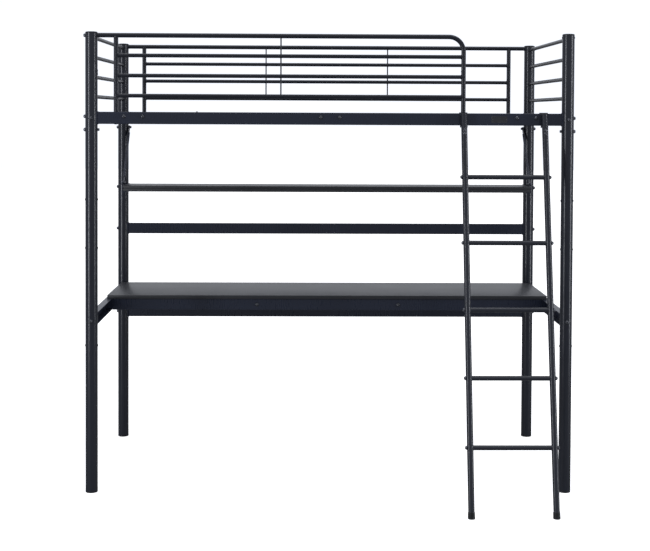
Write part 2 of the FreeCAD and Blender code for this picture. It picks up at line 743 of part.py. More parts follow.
def desk_bolts():
    solids = []
    front, rear = desk_rail_places()
    for s in (-1, 1):
        for y, end in ((front - RAIL_W / 2, "front"), (rear + RAIL_W / 2, "rear")):
            face = point(s * DESK_BAR_X, y, DESK_BOLT_Z)
            solids.append(bolt(face, ALONG_Y[end], RAIL_W + SADDLE_T))
            solids.append(nut(face, ALONG_Y[end], RAIL_W + SADDLE_T))
    for side, sx in SIDES.items():
        for y in (front, rear):
            face = point(sx * (POST_X + CHANNEL_W / 2), y, DESK_BOLT_Z)
            solids.append(bolt(face, ALONG_X[side], 2 * CHANNEL_T))
            solids.append(nut(face, ALONG_X[side], 2 * CHANNEL_T))
    return group(solids)


def board(x, y0, y1, z0, z1, radius):
    """Flat board with slightly rounded edges all round."""
    panel = block(-x, x, y0, y1, z0, z1)
    return panel.makeFillet(radius, panel.Edges)


def desk_top():
    return board(DESK_X, DESK_FRONT_Y, DESK_REAR_Y, DESK_UNDER, DESK_UNDER + DESK_T, DESK_EDGE_R)


# --- shelf --------------------------------------------------------------------------------
def shelf_board():
    return board(POST_X - POST_R - BRACKET_T - SHELF_GAP, SHELF_FRONT_Y, SHELF_REAR_Y,
                 SHELF_TOP - SHELF_T, SHELF_TOP, SHELF_EDGE_R)


def ear_place():
    return SHELF_FRONT_Y + EAR_BACK, SHELF_TOP + EAR_UP


def shelf_end_bracket(side):
    """Side plate with a ledge under the shelf and an ear for the stay."""
    sx = SIDES[side]
    wall = sx * (POST_X - POST_R)
    inner = wall - sx * BRACKET_T
    under = SHELF_TOP - SHELF_T
    ear_y, ear_z = ear_place()
    plate = block(wall, inner, SHELF_FRONT_Y, POST_Y + POST_R / 2, under - BRACKET_T, SHELF_TOP)
    along = point(sx, 0, 0)
    ear = rod(EAR_R, point(inner, ear_y, ear_z), point(wall, ear_y, ear_z))
    neck = block(wall, inner, ear_y - EAR_R, ear_y + EAR_R, SHELF_TOP - SHELF_T, ear_z)
    ledge = block(inner, inner - sx * BRACKET_LEDGE, SHELF_FRONT_Y, SHELF_REAR_Y, under - BRACKET_T, under)
    body = plate.fuse([ear, neck, ledge]).removeSplitter()
    body = body.cut(hole(point(wall, ear_y, ear_z), along, BRACKET_T + REACH))
    return body.cut(hole(point(wall, POST_Y, SHELF_Z), along, BRACKET_T + REACH))


def shelf_stays():
    """Round stay with two flattened ends, from each rear post down to the shelf's corner."""
    solids = []
    ear_y, ear_z = ear_place()
    for sx in SIDES.values():
        x1 = sx * (POST_X - POST_R - STAY_FLAT_T)
        x0 = x1 - sx * STAY_FLAT_T
        middle = (x0 + x1) / 2
        low = point(middle, ear_y, ear_z)
        high = point(middle, POST_Y, SPLICE_Z)
        along = (high - low).normalize()
        shaft = rod(STAY_R, low + along * STAY_FLAT_L, high - along * STAY_FLAT_L)
        turn = math.degrees(math.atan2(along.z, along.y))
        body = shaft
        for end, step in ((low, 1), (high, -1)):
            eye = rod(STAY_FLAT_W / 2, point(x0, end.y, end.z), point(x1, end.y, end.z))
            flat = block(x0, x1, 0, step * (STAY_FLAT_L + 2 * STAY_R), -STAY_FLAT_W / 2, STAY_FLAT_W / 2)
            flat.rotate(point(0, 0, 0), point(1, 0, 0), turn)
            flat.translate(point(0, end.y, end.z))
            drill = rod(HOLE_R, point(x0 - REACH, end.y, end.z), point(x0 + 2 * REACH, end.y, end.z))
            body = body.fuse([eye, flat]).cut(drill)
        solids.append(body.removeSplitter())
    return group(solids)


def shelf_bolts():
    """Ear bolts and nuts, and the spacers that hold the stays off the posts."""
    solids = []
    ear_y, ear_z = ear_place()
    for side, sx in SIDES.items():
        wall = sx * (POST_X - POST_R)
        face = point(wall, ear_y, ear_z)
        solids.append(bolt(face, ALONG_X[side], BRACKET_T + STAY_FLAT_T))
        solids.append(nut(face, ALONG_X[side], BRACKET_T + STAY_FLAT_T))
        start = point(wall, POST_Y, SPLICE_Z)
        spacer = rod(STAY_SPACER_R, start, start - point(sx * STAY_FLAT_T, 0, 0))
        solids.append(spacer.cut(rod(HOLE_R, start + point(REACH, 0, 0), start - point(REACH, 0, 0))))
    return group(solids)


# --- ladder -------------------------------------------------------------------------------
LADDER_UP = point(0, math.sin(LADDER_LEAN), math.cos(LADDER_LEAN))
STRAP_OUT = STILE_R + SLIP + HOOK_T      # stile axis to the far face of the hook's strap
LADDER_TOP_Y = RAIL_FRONT - HOOK_GAP - STRAP_OUT / math.cos(LADDER_LEAN)


def stile_point(x, z):
    """Point on a stile's axis at height z."""
    return point(x, LADDER_TOP_Y - (RAIL_TOP - z) * math.tan(LADDER_LEAN), z)


def below(z):
    """A slab that reaches everything under height z near the ladder."""
    return block(-LENGTH, LENGTH, -DEPTH * 2, DEPTH * 2, z - DEPTH, z)


def stile_bolt_places():
    return [stile_point(0, RUNG_PITCH * (i + 1)) for i in range(RUNG_COUNT)]


def ladder_stile(x, side):
    start = stile_point(x, 0) - LADDER_UP * 4 * STILE_R
    shell = tube(STILE_R, STILE_WALL, start, stile_point(x, RAIL_TOP - STILE_PLUG_T))
    shell = shell.cut(below(BOOT_SOLE))
    for spot in stile_bolt_places():
        across = point(SIDES[side], 0, 0)
        face = point(x, spot.y, spot.z) + across * STILE_R
        shell = shell.cut(hole(face, across, 2 * STILE_R + REACH))
    for spot in hook_screw_places(x):
        shell = shell.cut(rod(HOLE_R, spot + STILE_BACK * REACH, spot - STILE_BACK * 3 * STILE_R))
    return shell


def ladder_rung(i):
    """Tube between the stiles, coped to them, with an insert for the bolt in each end."""
    left = stile_point(LADDER_LEFT_X, RUNG_PITCH * (i + 1))
    right = stile_point(LADDER_RIGHT_X, RUNG_PITCH * (i + 1))
    bar = tube(RUNG_R, RUNG_WALL, left, right)
    over = LADDER_UP * 3 * STILE_R
    return cut_all(bar, [rod(STILE_R, spot - over, spot + over) for spot in (left, right)])


STILE_BACK = point(0, math.cos(LADDER_LEAN), -math.sin(LADDER_LEAN))


def hook_screw_places(x):
    """Points on the front face of the hook's tongue where the two screws go through."""
    return [stile_point(x, RAIL_TOP - drop) + STILE_BACK * (STILE_R + SLIP)
            for drop in HOOK_SCREW_DROPS]


def ladder_hook(x, forked):
    """Strap behind a stile that hooks over the side rail; forked where a guard upright stands."""
    top = RAIL_TOP + HOOK_GAP
    rear_y = RAIL_BACK + HOOK_GAP

    def strap(half_w, z_low, z_high):
        length = (z_high - z_low) / math.cos(LADDER_LEAN)
        plate = block(x - half_w, x + half_w, STILE_R + SLIP, STRAP_OUT, 0, length)
        plate.rotate(point(0, 0, 0), point(1, 0, 0), -math.degrees(LADDER_LEAN))
        at = stile_point(x, z_low)
        plate.translate(point(0, at.y, at.z))
        return plate

    wide = strap(HOOK_W / 2, RAIL_TOP - HOOK_DROP, top + 2 * HOOK_T)
    wide = wide.cut(block(-LENGTH, LENGTH, -DEPTH, 0, top + HOOK_T, HEIGHT))
    tongue = strap(TONGUE_W / 2, RAIL_TOP - TONGUE_DROP, RAIL_TOP - HOOK_DROP + HOOK_T)
    for spot in hook_screw_places(x):
        tongue = tongue.cut(rod(HOLE_R, spot - STILE_BACK * REACH, spot + STILE_BACK * REACH))
    front_y = stile_point(x, top).y + STRAP_OUT / math.cos(LADDER_LEAN)
    bridge = block(x - HOOK_W / 2, x + HOOK_W / 2, front_y - HOOK_T, rear_y + HOOK_T, top, top + HOOK_T)
    lip = block(x - HOOK_W / 2, x + HOOK_W / 2, rear_y, rear_y + HOOK_T, RAIL_TOP - HOOK_LIP, top + HOOK_T)
    body = wide.fuse([tongue, bridge, lip]).removeSplitter()
    if forked:
        half = GUARD_R + FORK_GAP
        body = body.cut(block(x - half, x + half, -POST_Y - half, -POST_Y + RAIL_W,
                              RAIL_TOP - HOOK_LIP - REACH, HEIGHT))
    return body


def ladder_hooks():
    return group([ladder_hook(LADDER_LEFT_X, True), ladder_hook(LADDER_RIGHT_X, False)])


def ladder_boots():
    """Plastic boot on the foot of each stile, with a level sole."""
    solids = []
    for x in (LADDER_LEFT_X, LADDER_RIGHT_X):
        start = stile_point(x, 0) - LADDER_UP * 4 * STILE_R
        outer = rod(STILE_R + BOOT_WALL, start, stile_point(x, BOOT_H))
        pocket = rod(STILE_R, start, stile_point(x, BOOT_H) + LADDER_UP * REACH).cut(below(BOOT_SOLE))
        solids.append(outer.cut(pocket).cut(below(0)))
    return group(solids)


def ladder_top_plugs():
    solids = []
    for x in (LADDER_LEFT_X, LADDER_RIGHT_X):
        top = stile_point(x, RAIL_TOP - STILE_PLUG_T)
        solids.append(dome(STILE_R, STILE_PLUG_T, top, LADDER_UP, STILE_R - STILE_WALL - SLIP,
                           4 * STILE_PLUG_T))
    return group(solids)


def ladder_bolts():
    """Rung bolts through the outer sides of the stiles, and the screws of the hooks."""
    solids = []
    for side, x in (("left", LADDER_LEFT_X), ("right", LADDER_RIGHT_X)):
        across = point(SIDES[side], 0, 0)
        for spot in stile_bolt_places():
            face = point(x, spot.y, spot.z) + across * STILE_R
            solids.append(bolt(face, across, 2 * STILE_R + SADDLE_T))
            solids.append(nut(face, across, 2 * STILE_R + SADDLE_T))
        for spot in hook_screw_places(x):
            head_at = spot - STILE_BACK * (2 * STILE_R + SLIP)
            length = 2 * STILE_R + SLIP + HOOK_T
            solids.append(dome(SCREW_HEAD_R, PLUG_H, head_at, STILE_BACK * -1, BOLT_R, length))
    return group(solids)


# --- the whole bed ------------------------------------------------------------------------
def build_all():
    """Every node by name, in the order in which the bed goes together."""
    nodes = {}
    for side, end in every_post():
        nodes["lower_post_" + end + "_" + side] = post(side, end, FOOT_T, SEAM_Z)
        nodes["upper_post_" + end + "_" + side] = post(side, end, SEAM_Z, HEIGHT - CAP_T)
    nodes["post_sleeves"] = post_sleeves()
    nodes["post_top_caps"] = post_top_caps()
    nodes["post_feet"] = post_feet()
    for side in SIDES:
        nodes["end_guard_rails_" + side] = end_guard_rails(side)
        nodes["platform_end_rail_" + side] = platform_end_rail(side)
    for end in ENDS:
        nodes["side_rail_" + end] = side_rail(end)
    nodes["rail_saddles"] = rail_saddles()
    nodes["cross_ties"] = cross_ties()
    nodes["cross_tie_bolts"] = cross_tie_bolts()
    nodes["slat_ledges"] = slat_ledges()
    nodes["slats"] = slats()
    nodes["slat_end_caps"] = slat_end_caps()
    nodes["front_guard_hoop"] = front_guard_hoop()
    nodes["front_guard_rails"] = infill(GUARD_START_X, LADDER_LEFT_X, -POST_Y)
    nodes["rear_guard_top_rail"] = rear_guard_top_rail()
    nodes["rear_guard_rails"] = infill(GUARD_START_X, -GUARD_START_X, POST_Y)
    nodes["guard_uprights"] = guard_uprights()
    nodes["guard_tie_rods"] = guard_tie_rods()
    nodes["guard_foot_bolts"] = guard_foot_bolts()
    nodes["blank_plate"] = blank_plate()
    nodes["back_bar"] = beam_along_x(POST_Y, BACK_BAR_Z)
    nodes["lower_rear_beam"] = beam_along_x(POST_Y, LOWER_BEAM_Z)
    nodes["desk_top"] = desk_top()
    for name, y in zip(("desk_rail_front", "desk_rail_rear"), desk_rail_places()):
        nodes[name] = desk_rail(y)
    for side in SIDES:
        nodes["desk_end_channel_" + side] = desk_end_channel(side)
        nodes["shelf_end_bracket_" + side] = shelf_end_bracket(side)
    nodes["desk_cross_bars"] = desk_cross_bars()
    nodes["desk_bolts"] = desk_bolts()
    nodes["shelf_board"] = shelf_board()
    nodes["shelf_stays"] = shelf_stays()
    nodes["shelf_bolts"] = shelf_bolts()
    nodes["post_bolts"] = post_bolts()
    nodes["post_nuts"] = post_nuts()
    nodes["hole_plugs"] = hole_plugs()
    nodes["ladder_stile_left"] = ladder_stile(LADDER_LEFT_X, "left")
    nodes["ladder_stile_right"] = ladder_stile(LADDER_RIGHT_X, "right")
    for i in range(RUNG_COUNT):
        nodes["ladder_rung_" + str(i + 1)] = ladder_rung(i)
    nodes["ladder_hooks"] = ladder_hooks()
    nodes["ladder_boots"] = ladder_boots()
    nodes["ladder_top_plugs"] = ladder_top_plugs()
    nodes["ladder_bolts"] = ladder_bolts()
    return nodes


def origin_shift(nodes):
    """Move that puts the origin on the floor, under the middle of the whole object."""
    whole = group(list(nodes.values())).optimalBoundingBox()
    return point(-(whole.XMin + whole.XMax) / 2, -(whole.YMin + whole.YMax) / 2, -whole.ZMin)


def main():
    os.makedirs("parts", exist_ok=True)
    nodes = build_all()
    shift = origin_shift(nodes)
    for name, shape in nodes.items():
        shape.translate(shift)
        shape.exportStep("parts/" + name + ".step")
        print(name, len(shape.Solids), "solids", round(shape.Volume / 1000, 1), "cm3")
    print(len(nodes), "nodes; origin moved by", [round(v, 2) for v in shift])


main()
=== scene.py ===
# %% [markdown]
# # A loft bed with a desk, finished in Blender
# The bed is a bolted and welded steel frame with two boards and a hook-on ladder. Its parts arrive
# as a fixed frame of CAD meshes, in metres, with +X along the bed, -Y to the front and +Z up. They
# could all be modelled afresh, but tubes and rails are right as they come, so they only get a finish.
# The small things that catch the eye from close by are modelled again by hand: caps, feet, bolts,
# nuts, plugs, weld beads, boards with edge bands, and the ladder's boots.

# %% Load the frame
import json
import math

import bmesh
import bpy
import numpy as np
from mathutils import Matrix, Vector


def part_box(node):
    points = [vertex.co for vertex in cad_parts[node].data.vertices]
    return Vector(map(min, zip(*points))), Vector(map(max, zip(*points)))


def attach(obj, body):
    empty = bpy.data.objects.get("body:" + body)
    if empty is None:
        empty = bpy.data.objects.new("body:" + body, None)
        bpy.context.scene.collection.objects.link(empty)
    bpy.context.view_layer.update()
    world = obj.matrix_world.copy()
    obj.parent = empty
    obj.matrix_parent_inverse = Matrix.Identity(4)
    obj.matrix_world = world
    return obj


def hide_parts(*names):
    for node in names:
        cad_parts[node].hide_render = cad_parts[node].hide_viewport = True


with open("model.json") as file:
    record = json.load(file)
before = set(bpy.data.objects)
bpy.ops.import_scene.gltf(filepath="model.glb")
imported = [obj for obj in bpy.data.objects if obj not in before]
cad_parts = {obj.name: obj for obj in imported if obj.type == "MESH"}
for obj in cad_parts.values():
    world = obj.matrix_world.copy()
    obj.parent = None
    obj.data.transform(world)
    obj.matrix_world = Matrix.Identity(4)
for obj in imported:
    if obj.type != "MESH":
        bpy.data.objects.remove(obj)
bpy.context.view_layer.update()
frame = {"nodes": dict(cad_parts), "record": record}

MM = 0.001
SLOT_OF = {row["node"]: row["material_slot"] for row in frame["record"]["subparts"]}

# %% [markdown]
# ## Where things are
# New pieces could be placed with numbers typed by hand, but those go wrong as soon as the bed
# changes. Here a node's box says where it lies, and where one node holds many bolts, a copy of its
# mesh is split into its islands, so each bolt tells its own place. A CAD mesh comes as loose
# triangles, so the copy has its doubles merged before the islands are read.

# %% Places read from the frame


def middle(node):
    low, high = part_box(node)
    return (low + high) / 2


def islands(node):
    """Points of each separate solid in a node, from a merged copy of its mesh."""
    bm = bmesh.new()
    bm.from_mesh(frame["nodes"][node].data)
    bmesh.ops.remove_doubles(bm, verts=bm.verts, dist=0.01 * MM)
    found = []
    left = {v: None for v in bm.verts}
    while left:
        seed = next(iter(left))
        del left[seed]
        group = [seed]
        queue = [seed]
        while queue:
            for edge in queue.pop().link_edges:
                for vert in edge.verts:
                    if vert in left:
                        del left[vert]
                        group.append(vert)
                        queue.append(vert)
        found.append([v.co.copy() for v in group])
    bm.free()
    return found


POSTS = {}
for end in ("front", "rear"):
    for side in ("left", "right"):
        POSTS[end, side] = middle("lower_post_" + end + "_" + side)
post_low, post_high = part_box("lower_post_front_left")
POST_R = (post_high.x - post_low.x) / 2
CAP_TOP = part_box("post_top_caps")[1].z
print("posts", round(POST_R / MM, 1), "mm in radius, caps at", round(CAP_TOP, 3), "m")

# %% [markdown]
# ## Camera
# The bed is seen almost from the front: a long lens stands a little left of the middle, level with
# the mattress, and looks slightly down. Tilting the camera further would frame the ladder's feet
# too, but it would make the posts lean. A lens shift moves the view down and keeps them upright,
# as an architect's lens does.

# %% Camera
LENS_MM = 71.2
SENSOR_MM = 36.0
SHIFT_Y = -0.1947
CAMERA_AT = Vector((-0.100, -5.554, 1.561))
CAMERA_YAW = math.radians(-0.86)
CAMERA_PITCH = math.radians(1.595)
CAMERA_ROLL = math.radians(0.25)

camera = bpy.data.objects.new("camera", bpy.data.cameras.new("camera"))
bpy.context.scene.collection.objects.link(camera)
bpy.context.scene.camera = camera
camera.data.sensor_width = SENSOR_MM
camera.data.lens = LENS_MM
camera.data.shift_y = SHIFT_Y
camera.location = CAMERA_AT
aim = Matrix.Rotation(CAMERA_YAW, 3, "Z") @ Matrix.Rotation(math.pi / 2 - CAMERA_PITCH, 3, "X")
camera.rotation_euler = (aim @ Matrix.Rotation(CAMERA_ROLL, 3, "Z")).to_euler()
print("camera", [round(c, 2) for c in camera.location])

# %% [markdown]
# ## Studio floor
# The bed stands in a white room. A white floor alone would throw so much light up that the black
# tubes turn grey underneath, and a grey floor would show its far edge. So the floor has two faces:
# the camera sees it white and glowing, and every other ray meets a darker, matt one.

# %% Floor
FLOOR_SIZE = 60.0
FLOOR_SEEN = 0.93           # tone of the floor to the camera
FLOOR_MIRRORED = 0.30       # and to everything else
FLOOR_GLOW = 0.75
FLOOR_ROUGHNESS = 0.7
FLOOR_SPECULAR = 0.2


def camera_switch(nodes, links, to_socket, seen, else_value):
    """A value that is one thing to the camera and another to every other ray."""
    path = nodes.new("ShaderNodeLightPath")
    level = nodes.new("ShaderNodeMix")
    links.new(path.outputs["Is Camera Ray"], level.inputs[0])
    for socket, value in ((2, else_value), (3, seen)):
        if isinstance(value, bpy.types.NodeSocket):
            links.new(value, level.inputs[socket])
        else:
            level.inputs[socket].default_value = value
    links.new(level.outputs[0], to_socket)


def floor_paint():
    paint = bpy.data.materials.new("floor_paint")
    paint.use_nodes = True
    nodes, links = paint.node_tree.nodes, paint.node_tree.links
    shader = nodes["Principled BSDF"]
    shader.inputs["Roughness"].default_value = FLOOR_ROUGHNESS
    shader.inputs["Specular IOR Level"].default_value = FLOOR_SPECULAR
    tone = nodes.new("ShaderNodeCombineColor")
    for channel in ("Red", "Green", "Blue"):
        camera_switch(nodes, links, tone.inputs[channel], FLOOR_SEEN, FLOOR_MIRRORED)
    links.new(tone.outputs[0], shader.inputs["Base Color"])
    camera_switch(nodes, links, shader.inputs["Emission Strength"], FLOOR_GLOW, 0.0)
    shader.inputs["Emission Color"].default_value = (1, 1, 1, 1)
    return paint


bm = bmesh.new()
bmesh.ops.create_grid(bm, x_segments=1, y_segments=1, size=FLOOR_SIZE / 2)
floor_mesh = bpy.data.meshes.new("floor")
bm.to_mesh(floor_mesh)
bm.free()
floor = bpy.data.objects.new("floor", floor_mesh)
bpy.context.scene.collection.objects.link(floor)
floor_mesh.materials.append(floor_paint())
print("floor", FLOOR_SIZE, "m wide")

# %% [markdown]
# ## Backdrop
# Behind the bed hangs a lit white backdrop, and the room round the camera is dimmer. A real sheet
# could be modelled, but the world's own light does the same with no geometry: its strength rises
# from front to back along Y. The edges of the tubes then pick up a pale rim from behind.

# %% Backdrop
WORLD_SEEN = 1.12
LIGHT_BEHIND = 0.68         # brightness of the backdrop, as the bed sees it
LIGHT_IN_FRONT = 0.50       # and of the room round the camera
BACKDROP_FROM, BACKDROP_FULL = 0.6, 0.93
COOL = (0.90, 0.93, 1.0)    # colour of the studio light

world = bpy.data.worlds.new("studio")
bpy.context.scene.world = world
world.use_nodes = True
nodes, links = world.node_tree.nodes, world.node_tree.links
sky = nodes["Background"]
way = nodes.new("ShaderNodeTexCoord")
split = nodes.new("ShaderNodeSeparateXYZ")
links.new(way.outputs["Generated"], split.inputs[0])
depth = nodes.new("ShaderNodeMapRange")
depth.interpolation_type = "SMOOTHSTEP"
depth.inputs["From Min"].default_value = BACKDROP_FROM
depth.inputs["From Max"].default_value = BACKDROP_FULL
depth.inputs["To Min"].default_value = LIGHT_IN_FRONT
depth.inputs["To Max"].default_value = LIGHT_BEHIND
links.new(split.outputs["Y"], depth.inputs["Value"])
camera_switch(nodes, links, sky.inputs["Strength"], WORLD_SEEN, depth.outputs["Result"])
sky.inputs["Color"].default_value = (*COOL, 1)
print("light behind", LIGHT_BEHIND, "and in front", LIGHT_IN_FRONT)

# %% [markdown]
# ## Lamps
# Black gloss shows its surroundings more than its own colour, so the lamps decide the look. A tall
# strip on each side draws one line down each round post: the line lies where the tube's normal is
# halfway between lamp and camera, so moving a strip to the front moves the line to the middle. A
# wide soft lamp above lays a thin line on top of each rail, and a very soft sun fills the rest.

# %% Lamps
LAMPS = {  # name: place, what it looks at, width, height, watts
    "strip_left": ((-3.7, -3.2, 1.2), (0, 0, 1.0), 0.50, 3.0, 66),
    "strip_right": ((4.4, -1.8, 1.2), (0, 0, 1.0), 0.50, 3.0, 56),
    "overhead": ((0, 0.4, 4.8), (0, 0, 0.8), 3.6, 2.0, 36),
}
SUN_ENERGY = 0.6
SUN_SPREAD = math.radians(60)
SUN_TILT = math.radians(8)


def area_light(name, at, towards, width, height, watts):
    light = bpy.data.lights.new(name, "AREA")
    light.shape = "RECTANGLE"
    light.size = width
    light.size_y = height
    light.energy = watts
    light.color = COOL
    lamp = bpy.data.objects.new(name, light)
    bpy.context.scene.collection.objects.link(lamp)
    lamp.location = at
    lamp.rotation_euler = (Vector(towards) - Vector(at)).to_track_quat("-Z", "Y").to_euler()


bpy.context.scene.view_settings.view_transform = "Standard"
for name, settings in LAMPS.items():
    area_light(name, *settings)
sun = bpy.data.lights.new("soft_sun", "SUN")
sun.energy = SUN_ENERGY
sun.angle = SUN_SPREAD
sun_lamp = bpy.data.objects.new("soft_sun", sun)
bpy.context.scene.collection.objects.link(sun_lamp)
sun_lamp.rotation_euler = (SUN_TILT, 0, 0)

# %% [markdown]
# ## Shared surface effects
# Every coated part has the same four small flaws: a ripple, an uneven gloss, dust on top and rubbed
# edges. They could be wired into each material anew, but then a change has to be made many times.
# Each is a node group instead, built once, that several finishes use with their own values. This
# small helper adds nodes and wires them, so that the recipes below stay short.

# %% Node group helpers


class Tree:
    """A small helper around a node tree: add a node with its values, and wire sockets."""

    def __init__(self, tree):
        self.tree = tree

    def add(self, kind, settings=None, **values):
        node = self.tree.nodes.new("ShaderNode" + kind)
        for key, value in (settings or {}).items():
            setattr(node, key, value)
        for key, value in values.items():
            self.put(node, key.replace("_", " "), value)
        return node

    def put(self, node, socket, value):
        target = node.inputs[int(socket)] if socket.isdigit() else node.inputs[socket]
        if isinstance(value, bpy.types.NodeSocket):
            self.tree.links.new(value, target)
        else:
            target.default_value = value

    def maths(self, operation, first, second=0.0, clamp=False):
        node = self.add("Math", {"operation": operation, "use_clamp": clamp})
        self.put(node, "0", first)
        self.put(node, "1", second)
        return node.outputs[0]

    def spread(self, value, low, high):
        """Stretch a value so that low becomes 0 and high becomes 1, and clamp it there."""
        return self.add("MapRange", Value=value, From_Min=low, From_Max=high).outputs["Result"]


def new_group(name, inputs, outputs):
    """Empty shader node group: inputs {name: (type, default)}, outputs {name: type}."""
    tree = bpy.data.node_groups.new(name, "ShaderNodeTree")
    for key, (kind, default) in inputs.items():
        socket = tree.interface.new_socket(key, in_out="INPUT", socket_type="NodeSocket" + kind)
        socket.default_value = default
    for key, kind in outputs.items():
        tree.interface.new_socket(key, in_out="OUTPUT", socket_type="NodeSocket" + kind)
    source = tree.nodes.new("NodeGroupInput")
    sink = tree.nodes.new("NodeGroupOutput")
    return Tree(tree), source, sink


GROUPS = {}
print("helpers ready")

# %% [markdown]
# ### Orange peel
# Powder coat is a plastic powder, melted onto the steel in an oven, and it sets with a fine ripple
# like the skin of an orange. A fine and a wide noise added together give it. It is only a height,
# which each finish turns into a bump of its own strength: real relief would need millions of faces.

# %% Orange peel
PEEL_SCALE = 700.0
WIDE_SCALE = 0.22           # the wide ripple's scale, as a share of the fine one's
WIDE_HEIGHT = 0.8


def build_orange_peel():
    t, source, sink = new_group(
        "orange_peel", {"Vector": ("Vector", (0, 0, 0)), "Scale": ("Float", PEEL_SCALE)}, {"Height": "Float"})
    spot = source.outputs["Vector"]
    fine = t.add("TexNoise", Vector=spot, Scale=source.outputs["Scale"], Detail=1.5)
    wide = t.add("TexNoise", Vector=spot, Detail=1.0)
    t.put(wide, "Scale", t.maths("MULTIPLY", source.outputs["Scale"], WIDE_SCALE))
    height = t.maths("ADD", fine.outputs["Fac"], t.maths("MULTIPLY", wide.outputs["Fac"], WIDE_HEIGHT))
    t.tree.links.new(height, sink.inputs["Height"])
    return t.tree


GROUPS["orange_peel"] = build_orange_peel()
print("orange peel at", PEEL_SCALE, "ripples a metre")

# %% [markdown]
# ### Gloss drift
# No coat shines evenly: hands and cloths leave soft patches, and wiping leaves marks along the
# tubes. A texture could be painted for it, but a noise stretched along Z, added to a soft one,
# drifts about any base roughness and never repeats.

# %% Gloss drift
PATCH_SCALE = 7.0
WIPE_STRETCH = (60.0, 60.0, 9.0)
WIPE_SCALE = 4.0


def build_gloss_drift():
    """Roughness that wanders about a base value."""
    t, source, sink = new_group(
        "gloss_drift",
        {"Vector": ("Vector", (0, 0, 0)), "Base": ("Float", 0.3), "Patches": ("Float", 0.05),
         "Wipes": ("Float", 0.05)},
        {"Roughness": "Float"})
    patch = t.add("TexNoise", Vector=source.outputs["Vector"], Scale=PATCH_SCALE, Detail=3.0)
    stretch = t.add("Mapping", Vector=source.outputs["Vector"], Scale=WIPE_STRETCH)
    wipe = t.add("TexNoise", Vector=stretch.outputs["Vector"], Scale=WIPE_SCALE, Detail=2.0)
    shift = t.maths("MULTIPLY", t.maths("SUBTRACT", patch.outputs["Fac"], 0.5), source.outputs["Patches"])
    fine = t.maths("MULTIPLY", t.maths("SUBTRACT", wipe.outputs["Fac"], 0.5), source.outputs["Wipes"])
    total = t.maths("ADD", source.outputs["Base"], t.maths("ADD", shift, fine), clamp=True)
    t.tree.links.new(total, sink.inputs["Roughness"])
    return t.tree


GROUPS["gloss_drift"] = build_gloss_drift()
print("gloss drift over patches of", round(1 / PATCH_SCALE, 2), "m")

# %% [markdown]
# ### Dust
# Dust lies on what faces up: the tops of rails, the desk, the shelf. It could be scattered as
# grains, but at arm's length it is only a paler, duller film in specks and clouds. So a mask is
# made of how far the surface faces up, times two noises.

# %% Dust
FACES_UP = 0.55             # from this upward lean on, dust stays
SPECK_SCALE = 260.0
CLOUD_SCALE = 9.0


def build_dust():
    """Mask of the dust that settles on what faces up: 0 is clean."""
    t, source, sink = new_group("dust", {"Vector": ("Vector", (0, 0, 0)), "Amount": ("Float", 0.1)},
                                {"Mask": "Float"})
    facing = t.add("NewGeometry")
    split = t.add("SeparateXYZ", Vector=facing.outputs["Normal"])
    up = t.spread(split.outputs["Z"], FACES_UP, 1.0)
    speck = t.add("TexNoise", Vector=source.outputs["Vector"], Scale=SPECK_SCALE, Detail=4.0)
    cloud = t.add("TexNoise", Vector=source.outputs["Vector"], Scale=CLOUD_SCALE, Detail=2.0)
    both = t.maths("MULTIPLY", t.spread(speck.outputs["Fac"], 0.42, 0.75), cloud.outputs["Fac"])
    mask = t.maths("MULTIPLY", t.maths("MULTIPLY", both, up), source.outputs["Amount"], True)
    t.tree.links.new(mask, sink.inputs["Mask"])
    return t.tree


GROUPS["dust"] = build_dust()
print("dust on faces that lean up by more than", FACES_UP)

# %% [markdown]
# ### Rubbed edges
# A coat is thinnest on edges and rubs away there first. The Bevel node gives the normal that a
# rounded edge would have, so where it differs from the true normal there is an edge, with no map
# to paint. A noise breaks the line up, because wear is never even.

# %% Edge wear
EDGE_WIDTH = 0.0012
EDGE_STARTS, EDGE_FULL = 0.97, 0.86     # how well the two normals agree
CHIP_SCALE = 180.0


def build_edge_wear():
    """Mask of the thin, broken line where a coat has rubbed on its edges: 0 is whole."""
    t, source, sink = new_group(
        "edge_wear",
        {"Vector": ("Vector", (0, 0, 0)), "Width": ("Float", EDGE_WIDTH), "Amount": ("Float", 0.4)},
        {"Mask": "Float"})
    sharp = t.add("NewGeometry")
    soft = t.add("Bevel", {"samples": 4})
    t.put(soft, "Radius", source.outputs["Width"])
    near = t.add("VectorMath", {"operation": "DOT_PRODUCT"})
    t.put(near, "0", sharp.outputs["Normal"])
    t.put(near, "1", soft.outputs["Normal"])
    line = t.spread(near.outputs["Value"], EDGE_STARTS, EDGE_FULL)
    chips = t.add("TexNoise", Vector=source.outputs["Vector"], Scale=CHIP_SCALE, Detail=3.0)
    broken = t.maths("MULTIPLY", line, t.spread(chips.outputs["Fac"], 0.46, 0.62))
    mask = t.maths("MULTIPLY", broken, source.outputs["Amount"], True)
    t.tree.links.new(mask, sink.inputs["Mask"])
    return t.tree


GROUPS["edge_wear"] = build_edge_wear()
print("node groups", sorted(GROUPS))

# %% [markdown]
# ## Coated finishes
# Each finish is one Principled shader. What stays the same all over is set on the shader's own
# sockets; what changes over the surface comes from the groups. Unwrapping every tube would let a
# pattern follow it, but all patterns here are fine and even, so they read Object coordinates, which
# for these parts are simply metres in the room: the ripple is as fine on a thin rail as on a post.

# %% How a coated surface is made
DUST_COLOUR = (0.30, 0.29, 0.28, 1)
DUST_DULLS = 0.5            # roughness that a full layer of dust adds
BUMP_DEPTH = 0.05 * MM
TINT_DARK, TINT_LIGHT = 0.8, 1.25


def use_group(t, name, **values):
    node = t.tree.nodes.new("ShaderNodeGroup")
    node.node_tree = GROUPS[name]
    for key, value in values.items():
        t.put(node, key, value)
    return node


